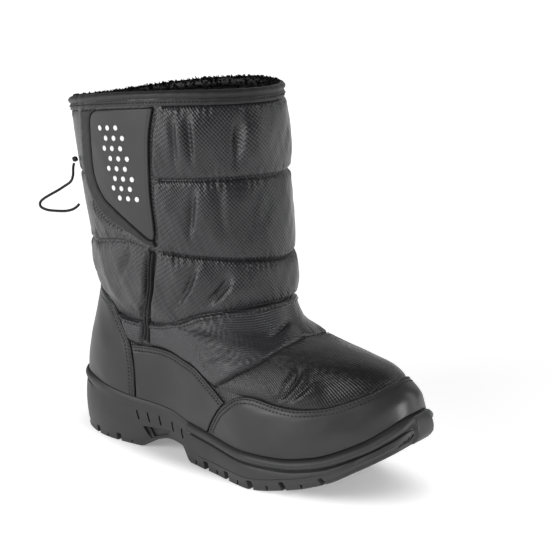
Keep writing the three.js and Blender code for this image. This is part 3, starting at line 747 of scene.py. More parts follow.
@dataclass
class StitchRow:
    """Row of stitches laid along a line on the last."""

    line: Array
    height: float | Callable[[Array, Array], Array] = 1.6
    pitch: float = 2.8
    length: float = 1.7
    thick: float = 1.0
    flat: float = 0.8
    sides: int = 6

    def into(self, heap: Heap) -> None:
        """Add those stitches whose height is a number."""
        count = max(int(LAST.length(self.line) / self.pitch), 2)
        spots = LAST.spaced(self.line, (np.arange(count) + 0.5) / count)
        ends = LAST.spaced(self.line, (np.arange(count) + 0.52) / count)
        fixed = not callable(self.height)
        height = np.full(count, self.height) if fixed else self.height(spots[:, 0], spots[:, 1])
        shown = np.isfinite(height)
        spots, ends, height = spots[shown], ends[shown], height[shown]
        normals = LAST.normal(spots[:, 0], spots[:, 1])
        places = LAST.off(spots[:, 0], spots[:, 1], height)
        ways = unit(LAST.point(ends[:, 0], ends[:, 1]) - LAST.point(spots[:, 0], spots[:, 1]))
        size = Matrix.Diagonal((self.thick, self.thick * self.flat, self.length, 1.0))
        for spot, normal, way in zip((places + SHIFT) * MM, normals, ways):
            side = Vector(np.cross(normal, way))
            frame = Matrix((side, Vector(normal), Vector(way))).transposed().to_4x4()
            matrix = Matrix.Translation(Vector(spot)) @ frame @ size
            bmesh.ops.create_uvsphere(heap.room(), u_segments=self.sides, v_segments=4, radius=MM / 2,
                                      matrix=matrix)


def beside(line: Array, distance: Array | float) -> Array:
    """Line moved sideways over the last: to its left seen from outside when the distance is positive."""
    turn, up = line[:, 0], line[:, 1]
    left = np.cross(LAST.normal(turn, up), unit(np.gradient(LAST.point(turn, up), axis=0)))
    return np.stack(LAST.walk(turn, up, left * np.asarray(distance)[..., None]), -1)


# Finishes

def colour(code: str) -> tuple[float, float, float, float]:
    """Linear colour of an sRGB hex value."""
    parts = [int(code[k:k + 2], 16) / 255 for k in (1, 3, 5)]
    linear = [c / 12.92 if c <= 0.04045 else ((c + 0.055) / 1.055) ** 2.4 for c in parts]
    return (*linear, 1.0)


def add_node(tree: bpy.types.NodeTree, kind: str, inputs: Mapping[str | int, object] | None = None,
             **settings: object) -> bpy.types.Node:
    """Add a node with its settings, its values and its links.

    Args:
        tree: The node tree.
        kind: Type name of the node.
        inputs: A value or another node's output for each named socket.
        settings: Properties of the node.

    Returns:
        The node.
    """
    node = tree.nodes.new(kind)
    for name, value in settings.items():
        setattr(node, name, value)
    for socket, value in (inputs or {}).items():
        if isinstance(value, bpy.types.NodeSocket):
            tree.links.new(value, node.inputs[socket])
        else:
            node.inputs[socket].default_value = value
    return node


@dataclass(frozen=True)
class Finish:
    """A material with fine grain all over: what the plainer pieces wear."""

    name: str
    dark: str
    light: str
    roughness: float
    grain: float = 0.6
    depth: float = 0.05
    sheen: float = 0.0
    specular: float = 0.5
    worn: float = 0.0
    patch: float = 22.2222
    spread: float = 2.4

    def material(self) -> bpy.types.Material:
        """The material, made once."""
        kept = bpy.data.materials.get(self.name)
        return kept if kept else self.make()

    def make(self) -> bpy.types.Material:
        """Make the material's nodes."""
        material = bpy.data.materials.new(self.name)
        material.use_nodes = True
        tree = material.node_tree
        tree.nodes.clear()
        tone, bump = self.pattern(tree)
        surface = add_node(tree, "ShaderNodeBsdfPrincipled", {
            "Base Color": tone, "Roughness": self.roughness, "Normal": bump,
            "Sheen Weight": self.sheen, "Sheen Roughness": 0.4, "Specular IOR Level": self.specular,
        })
        add_node(tree, "ShaderNodeOutputMaterial", {"Surface": surface.outputs[0]})
        return material

    def tones(self, tree: bpy.types.NodeTree, share: bpy.types.NodeSocket) -> bpy.types.NodeSocket:
        """Colour between the dark and the light tone."""
        mix = add_node(tree, "ShaderNodeMix", {0: share, 6: colour(self.dark), 7: colour(self.light)},
                       data_type="RGBA")
        return mix.outputs[2]

    def pattern(self, tree: bpy.types.NodeTree) -> tuple[bpy.types.NodeSocket, bpy.types.NodeSocket]:
        """Colour and surface direction of the finish."""
        where = add_node(tree, "ShaderNodeTexCoord").outputs["Object"]
        fine, broad = (
            add_node(tree, "ShaderNodeTexNoise", {"Vector": where, "Scale": scale, "Detail": 3.0}).outputs[0]
            for scale in (1 / (self.grain * MM), 1 / (self.patch * MM)))
        share = add_node(tree, "ShaderNodeMath", {0: fine, 1: broad}, operation="MULTIPLY")
        wide = add_node(tree, "ShaderNodeMath", {0: share.outputs[0], 1: self.spread}, operation="MULTIPLY")
        if self.worn:
            edge = add_node(tree, "ShaderNodeAttribute", attribute_name="edge").outputs["Fac"]
            wide = add_node(tree, "ShaderNodeMath", {0: edge, 1: self.worn, 2: wide.outputs[0]},
                            operation="MULTIPLY_ADD")
        bump = add_node(tree, "ShaderNodeBump", {"Height": fine, "Distance": self.depth * MM})
        return self.tones(tree, wide.outputs[0]), bump.outputs[0]


@dataclass(frozen=True)
class WovenFinish(Finish):
    """Cloth whose threads follow the piece's own cloth coordinates.

    The mark named zone says which cloth it is: 0 a twill, 1 a cloth with level ripples and 2 one with upright
    ribs. The second cloth is paler than the first. The third is dimmer than the first, a painted shade on the
    upward-facing vamp.
    """

    patch: float = 16.6667
    pitch: float = 2.0
    slant: float = 0.7
    contrast: float = 0.95
    paler: float = 0.16
    # Painted shade: the upward-facing vamp's cloth is made dimmer than the twill.
    darker: float = -0.72

    def threads(self, tree: bpy.types.NodeTree, cloth: bpy.types.NodeSocket, angle: float,
                pitch: float) -> bpy.types.NodeSocket:
        """One set of threads, from -1 to 1."""
        rate = 2 * PI / (pitch * MM)
        turned = add_node(tree, "ShaderNodeVectorMath", {
            0: cloth, 1: (rate * math.cos(angle), rate * math.sin(angle), 0.0)}, operation="DOT_PRODUCT")
        return add_node(tree, "ShaderNodeMath", {0: turned.outputs["Value"]}, operation="SINE").outputs[0]

    def pattern(self, tree: bpy.types.NodeTree) -> tuple[bpy.types.NodeSocket, bpy.types.NodeSocket]:
        """Colour and surface direction of the cloth."""
        cloth = add_node(tree, "ShaderNodeUVMap", uv_map="cloth").outputs[0]
        zone = add_node(tree, "ShaderNodeAttribute", attribute_name="zone").outputs["Fac"]
        fine = add_node(tree, "ShaderNodeTexNoise", {"Vector": cloth, "Scale": 0.6 / (self.pitch * MM)})
        rising = self.threads(tree, cloth, self.slant, self.pitch)
        falling = self.threads(tree, cloth, -self.slant, self.pitch)
        level = self.threads(tree, cloth, PI / 2 + 0.12, self.pitch * 0.95)
        upright = self.threads(tree, cloth, 0.1, self.pitch * 0.9)
        weave, *others = (
            add_node(tree, "ShaderNodeMath", {0: under, 1: share, 2: over},
                     operation="MULTIPLY_ADD").outputs[0]
            for under, share, over in ((falling, 0.65, rising), (rising, 0.45, level), (level, 0.3, upright)))
        shares = [
            add_node(tree, "ShaderNodeMath", {0: zone, 1: below}, operation="SUBTRACT",
                     use_clamp=True).outputs[0]
            for below in (0.0, 1.0)]
        for share, other in zip(shares, others):
            weave = add_node(tree, "ShaderNodeMix", {0: share, 2: weave, 3: other}).outputs[0]
        uneven = add_node(tree, "ShaderNodeMath", {0: weave, 1: fine.outputs[0]},
                          operation="MULTIPLY").outputs[0]
        tone = add_node(tree, "ShaderNodeTexNoise", {
            "Vector": cloth, "Scale": 1 / (self.patch * MM), "Detail": 4.0}).outputs[0]
        tone = add_node(tree, "ShaderNodeMath", {0: tone, 1: 0.05}, operation="ADD").outputs[0]
        # The last change dims the vamp's cloth, a painted shade on its upward-facing top.
        for share, change in ((uneven, self.contrast), (shares[0], self.paler), (shares[1], self.darker)):
            tone = add_node(tree, "ShaderNodeMath", {0: share, 1: change, 2: tone},
                            operation="MULTIPLY_ADD").outputs[0]
        bump = add_node(tree, "ShaderNodeBump", {"Height": uneven, "Distance": self.depth * MM})
        return self.tones(tree, tone), bump.outputs[0]


@dataclass(frozen=True)
class GlowingFinish(Finish):
    """Board that glows evenly far away and less in an oval round the boot, which is a painted contact shadow.
    """

    # The low glow under the boot, inside the oval of the foot's size, is a painted contact shadow; beside is
    # the glow just round it.
    under: float = 0.25
    beside: float = 0.72
    far: float = 1.0
    foot: tuple[float, float] = (0.142, 0.052)

    def make(self) -> bpy.types.Material:
        """Make the material and let it glow."""
        material = super().make()
        surface = next(n for n in material.node_tree.nodes if n.type == "BSDF_PRINCIPLED")
        surface.inputs["Emission Color"].default_value = (1.0, 1.0, 1.0, 1.0)
        tree = material.node_tree
        where = add_node(tree, "ShaderNodeTexCoord").outputs["Object"]
        shrink = (1 / self.foot[0], 1 / self.foot[1], 0.0)
        oval = add_node(tree, "ShaderNodeVectorMath", {0: where, 1: shrink}, operation="MULTIPLY").outputs[0]
        # Painted shadow: the first ring lowers the glow inside the oval round the boot; the second raises it
        # far away.
        rings = ((oval, 0.8, 1.25, self.under, self.beside),
                 (where, 0.3, 1.5, 0.0, self.far - self.beside))
        parts = []
        for places, start, end, *glows in rings:
            away = add_node(tree, "ShaderNodeVectorMath", {0: places}, operation="LENGTH").outputs["Value"]
            parts.append(add_node(tree, "ShaderNodeMapRange", {
                0: away, 1: start, 2: end, 3: glows[0], 4: glows[1]},
                interpolation_type="SMOOTHSTEP").outputs[0])
        glow = add_node(tree, "ShaderNodeMath", {0: parts[0], 1: parts[1]}, operation="ADD")
        tree.links.new(glow.outputs[0], surface.inputs["Emission Strength"])
        return material


# Styrene-butadiene rubber from an open mould: matt, with a fine even grain and soft broad highlights.
RUBBER = Finish("moulded_rubber", "#1d1d1e", "#2a2a2b", 0.5, grain=0.9, depth=0.07)
# Polyurethane skin on a knitted back: satin, smooth, paler where a fold or an edge is rubbed.
COATED = Finish("polyurethane_coated_synthetic", "#1d1d1e", "#29292a", 0.4, grain=0.7, depth=0.05, worn=0.35)
# Filament nylon, quilted on wadding: a broken sheen along the folds, with every thread catching the light.
# The threads are drawn about four times as coarse as they are, or none would show.
# The vamp's cloth in this finish is dimmed by a painted shade.
NYLON = WovenFinish("nylon_twill", "#0b0b0c", "#343437", 0.36, sheen=0.1, depth=0.16)
# Narrow polyester weave: dull and grainy.
TAPE = Finish("woven_polyester_tape", "#0f0f10", "#232324", 0.7, grain=0.9, depth=0.3, sheen=0.1)
BINDING = Finish("folded_polyester_binding", "#141415", "#242425", 0.58, grain=0.7, depth=0.12, sheen=0.1)
# Knitted pile: soft and very dark, because the light is lost between the fibres.
FLEECE = Finish("polyester_fleece", "#060606", "#101011", 0.95, grain=1.6, depth=0.5, specular=0.2)
# Bonded sewing thread: thin and nearly black, with a small gloss.
THREAD = Finish("bonded_polyester_thread", "#040404", "#0b0b0b", 0.5, grain=0.4, depth=0.03)
# Needled fibre board: dull and fuzzy.
FELT = Finish("needled_felt", "#0d0d0e", "#181819", 0.95, grain=1.2, depth=0.2, sheen=0.1)
# Braided sleeve on rubber: fine grain, a little gloss.
ELASTIC = Finish("braided_elastic_cord", "#0e0e0f", "#1a1a1b", 0.55, grain=0.5, depth=0.08)
# Glass beads in a clear ink: nearly white and even.
REFLECTIVE = Finish("glass_bead_reflective_print", "#dcdcdc", "#f4f4f4", 0.4, grain=0.4, depth=0.02)
# White board that glows, with a painted contact shadow under the boot.
FLOOR = GlowingFinish("glowing_board_painted_shadow", "#e9e9e9", "#eeeeee", 0.9, grain=2.0, depth=0.0, specular=0.0)


# Pieces

@dataclass
class QuiltedUpper:
    """Quilted nylon outside of the boot, with a thin backing, open at the collar."""

    loft: float = 3.8
    vamp_loft: float = 2.2
    full_band: float = 0.1
    gusset_inner: float = -0.14
    gusset_outer: float = 0.33
    gusset_share: float = 0.2
    backing: float = 2.0
    cup_depth: float = 9.0
    gap: float = 0.3
    recess: float = 0.25
    strip: float = 4.2
    seam_depth: float = 1.1
    seam_half: float = 1.2
    pucker_away: float = 3.4
    pucker_width: float = 3.0
    wave: float = 1.05
    small_wave: float = 0.25
    calm_below: float = 0.4
    hug: float = 5.0
    puckers: tuple[float, ...] = (0.5, 0.6, 1.1, 1.1, 1.0)
    columns_outer: int = 340
    columns_inner: int = 150
    hidden_share: float = 0.8
    zone_rows: tuple[int, ...] = (6, 36, 30, 32, 30, 22, 2)
    zone_cloth: tuple[int, ...] = (2, 2, 1, 0, 0, 0, 0)

    def pillow(self, share: Array) -> Array:
        """Shape of the padding between two seams."""
        t = np.clip(share, 0, 1)
        return np.sqrt(np.clip(1 - np.abs(2 * t - 1) ** 2.3, 0, 1))

    def heights(self, turn: Array, up: Array, cloth: Array) -> Array:
        """Height of the cloth over the last.

        Args:
            turn: Turns of the grid.
            up: Ups of the grid.
            cloth: Cloth coordinates in millimetres.

        Returns:
            The heights in millimetres.
        """
        seams = SEAMS.all(turn)
        side = np.abs(turn)
        base = LAST.point(turn, up)
        toe = column(TOE_TOP, "turn", "up")(side)
        vamp = (side > 0.55) & (up > toe) & (up <= seams[0])
        swell = self.vamp_loft * self.pillow((up - toe) / np.maximum(seams[0] - toe, 1e-3))
        height = np.where(vamp, swell, 0.0)
        for low, high in zip(seams[:-1], seams[1:]):
            share = (up - low) / (high - low)
            swell = self.loft * np.minimum(1, (high - low) / self.full_band) * self.pillow(share)
            height = np.where((up > low) & (up <= high), swell, height)
        rear = ease((turn - self.gusset_inner) / 0.02) * ease((self.gusset_outer - turn) / 0.02)
        rear = rear * ease((up - seams[2]) / 0.01)
        height = height * (1 - rear * (1 - self.gusset_share))
        waves = Ripples(11, 34.0, 90.0)(cloth)
        soft = np.clip(height / self.loft, 0, 1)
        calm = np.where(up < seams[1], self.calm_below, 1.0)
        height = height + soft * calm * (self.wave * waves + self.small_wave * Ripples(12, 11.0, 26.0)(cloth))
        per_up = np.linalg.norm(LAST.tangents(turn, up)[1], axis=-1)
        pucker = Ripples(21, 6.0, 300.0, 14)(cloth)
        pucker = pucker * (0.55 + 0.45 * Ripples(22, 38.0, 60.0)(cloth))
        reach = self.pucker_width * (1 + 0.5 * waves)
        for seam, strength in zip(seams, self.puckers):
            away = (up - seam) * per_up
            both = hump(away - self.pucker_away, reach) + hump(away + self.pucker_away, reach)
            height = height + strength * pucker * both
            height = height - self.seam_depth * hump(away, self.seam_half)
        lapped = (seams[1] - up) * per_up
        height = height + self.seam_depth * ease(lapped / 0.4) * ease((self.strip - lapped) / 1.5)
        for crease in CREASES:
            height = height + self.crease(crease, turn, base)
        return height

    def crease(self, crease: Crease, turn: Array, base: Array) -> Array:
        """Height of one fold: a trough with a ridge beside it, which falls off gently on its far side.

        Args:
            crease: The fold.
            turn: Turns of the grid.
            base: Places of the grid on the last.

        Returns:
            The heights in millimetres.
        """
        outline = Outline(np.linspace(crease.start, crease.end, 14))
        reach = crease.width * 10
        low, high = outline.points.min(0) - reach, outline.points.max(0) + reach
        near = ((base > low) & (base < high)).all(-1) & (turn > 0)
        height = np.zeros(turn.shape)
        spots = base[near]
        start, end = outline.points[0], outline.points[-1]
        share = (spots - start) @ (end - start) / ((end - start) @ (end - start))
        away = outline.distance(spots)
        normal = LAST.normal(*(np.asarray(crease.start) + np.asarray(crease.end)) / 2)
        signed = away * np.sign((spots - start) @ np.cross(normal, end - start))
        fade = ease(share / 0.35) * ease((1 - share) / 0.45)
        trough = -crease.depth * hump(signed, crease.width)
        broad = np.where(signed > 2 * crease.width, 4.0, 1.2) * crease.width
        ridge = crease.ridge * hump(signed - 2 * crease.width, broad)
        height[near] = fade * (trough + ridge)
        return height

    def build(self, flap: Outline, panels: Sequence[Outline], piping: Outline) -> bpy.types.Object:
        """Make the upper, laid flat under the pieces that are sewn on it.

        Args:
            flap: Outline of the flap with its band.
            panels: Outlines of the panels on the foot.
            piping: Line of the raised seam.

        Returns:
            The upper.
        """
        outer = np.linspace(0, 1, self.columns_outer + 1)
        outer = outer + 0.045 * np.sin(2 * PI * outer) - 0.012 * np.sin(4 * PI * outer)
        inner = np.linspace(-1, 0, self.columns_inner + 1)[1:]
        turns = np.concatenate([outer, inner])
        lines = SEAMS.all(turns)
        hidden = self.hidden_share * np.minimum(lines[0], column(TOE_TOP, "turn", "up")(np.abs(turns)))
        lines = [0 * turns, hidden, *lines, 0 * turns + 1]
        rows, zones = [lines[0]], [self.zone_cloth[0]]
        for k, count in enumerate(self.zone_rows):
            for share in (np.arange(count) + 1) / count:
                share = 0.4 * share + 0.6 * (1 - math.cos(PI * share)) / 2
                rows.append(lines[k] * (1 - share) + lines[k + 1] * share)
                zones.append(self.zone_cloth[k])
        up = np.array(rows)
        turn = np.broadcast_to(turns, up.shape)
        base = LAST.point(turn, up)
        cloth = self.cut(base, np.array(zones))
        height = self.heights(turn, up, cloth)
        away = np.where(flap.inside(turn, up), -1.0, 1.0) * flap.distance(base)
        keep = ease((away - 0.2) / self.hug)
        tucked = 1.1 * ease((away - 0.5) / 0.9)
        for panel in panels:
            keep = np.where(panel.inside(np.abs(turn), up), 0.0, keep)
        keep = keep * ease((piping.distance(base) - 2.9) / 2.5)
        bare = up > SEAMS.low(np.abs(turn))
        height = np.where(keep > 0, height * keep, 0.0) - self.recess * (1 - keep) * bare
        height = np.where((keep > 0) & (away < 7.0), np.maximum(height, tucked), height)
        out = base + LAST.normal(turn, up) * height[..., None]
        self.turns, self.ups, self.cover = turns, up, np.where(keep > 0.6, height, np.nan)
        rim = out[0, :, 2]
        cup = LAST.foot(turns, 0.0, rim - self.cup_depth + self.gap)
        inside_ups = np.array([1.0, 0.9, 0.75, 0.6, 0.5, 0.4, 0.3, 0.2, 0.1, 0.0])
        inside = np.stack([LAST.off(turns, u, -self.backing) for u in inside_ups])
        sole = LAST.foot(turns, -self.backing, rim - self.cup_depth + self.gap)
        places = np.concatenate([cup[None], out, inside, sole[None], cup[None]])
        flat = np.zeros((*places.shape[:2], 2))
        flat[1:1 + len(cloth)] = cloth
        zone = np.zeros(places.shape[:2])
        zone[1:1 + len(up)] = np.array(zones)[:, None]
        mesh = closed("upper", [Sheet(places, flat, {"zone": zone})])
        return place("quilted_upper", mesh, NYLON, "upper", "nylon")

    def cut(self, base: Array, zones: Array) -> Array:
        """Cloth coordinates of the upper, which is cut from three cloths: vamp, instep and shaft.

        Args:
            base: Places of the grid.
            zones: Number of the cloth that each row belongs to.

        Returns:
            Millimetres along the middle row of each cloth, and up from the first row.
        """
        cloth = cloth_of(base, self.columns_outer // 2)
        for chosen in set(self.zone_cloth):
            rows = np.flatnonzero(zones == chosen)
            cloth[rows, :, 0] = cloth[rows[len(rows) // 2], :, 0]
        return cloth

    def height_at(self, turn: Array, up: Array) -> Array:
        """Height of the finished cloth at places of the last, and no number where something covers it."""
        order = np.argsort(self.turns)
        height = np.empty(len(turn))
        for k, (t, u) in enumerate(zip(turn, up)):
            j = order[min(np.searchsorted(self.turns[order], t), len(order) - 1)]
            i = min(np.searchsorted(self.ups[:, j], u), len(self.ups) - 1)
            height[k] = self.cover[i, j]
        return height

    def stitches(self) -> bpy.types.Object:
        """Sew the quilting seams, and two rows more on the strip round the ankle."""
        heap = Heap()
        turns = np.linspace(-0.998, 0.998, 500)
        lines = [np.stack([turns, seam], -1) for seam in SEAMS.all(turns)[:4]]
        lines += [beside(lines[1], -1.4), beside(lines[1], -3.4)]
        for line in lines:
            row = StitchRow(line, lambda t, u: self.height_at(t, u) + 0.2, pitch=2.9, length=1.8, thick=0.85)
            row.into(heap)
        return place("quilting_stitches", heap.mesh("stitches"), THREAD)


@dataclass
class CoatedPanel:
    """Coated panel on the foot of the boot, with a rolled edge and rows of stitches."""

    name: str
    bottom: Array
    top: Array
    left: Array
    right: Array
    sewn: Sequence[Array]
    low: float = 0.3
    thick: float = 1.4
    roll: float = 0.9
    rows_from_edge: tuple[float, ...] = (2.0, 4.6)
    coarse: float = 2.6
    foot_up: float = 0.02
    foot_lift: float = 0.25
    groove: float = 0.42
    groove_half: float = 0.6
    edge_swell: float = 0.4
    wave: float = 0.25
    seed: int = 3
    fine: tuple[float, ...] = (
        0.0, 0.1, 0.28, 0.55, 0.9, 1.3, 1.7, 2.1, 2.6, 3.1, 3.7, 4.3, 4.9, 5.6, 6.6, 8.0)

    def shares(self, length: float) -> Array:
        """Places along a side, closer together near its ends."""
        near = [s for s in self.fine if s < length / 2]
        marks = [0.0, length, *near, *(length - s for s in near)]
        first, final = self.fine[-1], length - self.fine[-1]
        marks += list(np.arange(first, final, self.coarse)[1:]) if final > first else []
        marks = np.unique(np.round(marks, 4))
        keep = np.concatenate([[True], np.diff(marks) > 0.04])
        keep[-1] = True
        return marks[keep] / length

    def grid(self) -> Array:
        """Turns and ups of the panel's grid, from its four sides."""
        s = self.shares(LAST.length(self.bottom))
        t = self.shares(max(LAST.length(self.left), LAST.length(self.right)))
        bottom, top = LAST.spaced(self.bottom, s), LAST.spaced(self.top, s)
        left, right = LAST.spaced(self.left, t), LAST.spaced(self.right, t)
        s, t = s[None, :, None], t[:, None, None]
        across = (1 - t) * bottom[None] + t * top[None]
        upward = (1 - s) * left[:, None] + s * right[:, None]
        low = (1 - s) * bottom[0] + s * bottom[-1]
        high = (1 - s) * top[0] + s * top[-1]
        return across + upward - (1 - t) * low - t * high

    def build(self) -> list[bpy.types.Object]:
        """Make the panel and its stitches."""
        grid = self.grid()
        grid[..., 1] = np.clip(grid[..., 1], 0, 1)
        turn, up = grid[..., 0], grid[..., 1]
        base = LAST.point(turn, up)
        from_border = Outline(border(grid)).distance(base)
        from_sewn = np.min([Outline(line).distance(base) for line in self.sewn], axis=0)
        foot = ease((self.foot_up - up) / 0.01)
        rolled = np.maximum(rounded(from_border / self.roll), foot * rounded(from_border / self.low))
        height = self.low + self.thick * rolled
        full = ease(from_border / 2)
        for row in self.rows_from_edge:
            height -= full * self.groove * hump(from_sewn - row, self.groove_half)
        height += full * self.edge_swell * hump(from_sewn - 0.9, 0.8)
        waves = Ripples(self.seed, 40.0, 30.0)(cloth_of(base, base.shape[1] // 2))
        height += full * ease(from_sewn / 12) * self.wave * waves
        lift = (self.foot_lift * hump(up, 0.024))[..., None] * [0.0, 0.0, 1.0]
        mesh = slab(self.name, grid, height, self.low, {"edge": hump(from_sewn, 1.6)}, lift)
        pieces = [place(self.name, mesh, COATED, self.name, "coated")]
        heap = Heap()
        for line in self.sewn:
            for row in self.rows_from_edge:
                StitchRow(beside(line, row), self.low + self.thick - 0.1).into(heap)
        pieces.append(place(self.name + "_stitches", heap.mesh("stitches"), THREAD))
        return pieces


def symmetric_panel(name: str, side: Array, top: Array, middle: float, seed: int) -> CoatedPanel:
    """Panel with two equal halves, from one side of the foot to the other.

    Args:
        name: Name of the panel.
        side: Its first side, from the sole up.
        top: The first half of its top edge, from that side to the middle.
        middle: Turn of the middle.
        seed: Seed of its waves.

    Returns:
        The panel.
    """
    other, rest = (line * [-1.0, 1.0] + [2 * middle, 0.0] for line in (side, top))
    whole = np.concatenate([top, rest[::-1][1:]])
    edge = np.concatenate([side, whole[1:], other[::-1][1:]])
    foot = np.linspace(side[0], other[0], 200)
    return CoatedPanel(name, foot, whole, side, other, [edge[::-1]], seed=seed)


def toe_cap() -> CoatedPanel:
    """Toe panel from one side of the foot over the toe to the other."""
    return symmetric_panel("toe_cap", smooth_line(TOE_SIDE), smooth_line(TOE_TOP), 1.0, 5)


def heel_counter() -> CoatedPanel:
    """Heel panel round the back of the foot."""
    side, top = (smooth_line(table) * [-1.0, 1.0] for table in (COUNTER_SIDE, COUNTER_TOP))
    return symmetric_panel("heel_counter", side, top, 0.0, 6)


def side_panel(outer: bool) -> CoatedPanel:
    """Side panel between heel counter and toe panel."""
    left = smooth_line([Mark(m.turn + 0.003, m.up) for m in COUNTER_SIDE[:4]] + [Mark(0.315, 0.229)])
    right = smooth_line([Mark(m.turn - 0.003, m.up) for m in TOE_SIDE[:3]] + [Mark(0.557, 0.170)])
    top = smooth_line([Mark(0.315, 0.229), *SIDE_PANEL_TOP[1:], Mark(0.557, 0.170)])
    foot = np.linspace(left[0], right[0], 120)
    flip = np.array([1.0 if outer else -1.0, 1.0])
    foot, top, left, right = (line * flip for line in (foot, top, left, right))
    if not outer:
        foot, top, left, right = foot[::-1], top[::-1], right, left
    name = "side_panel_outer" if outer else "side_panel_inner"
    return CoatedPanel(name, foot, top, left, right, [top[::-1]], thick=1.1, seed=7)


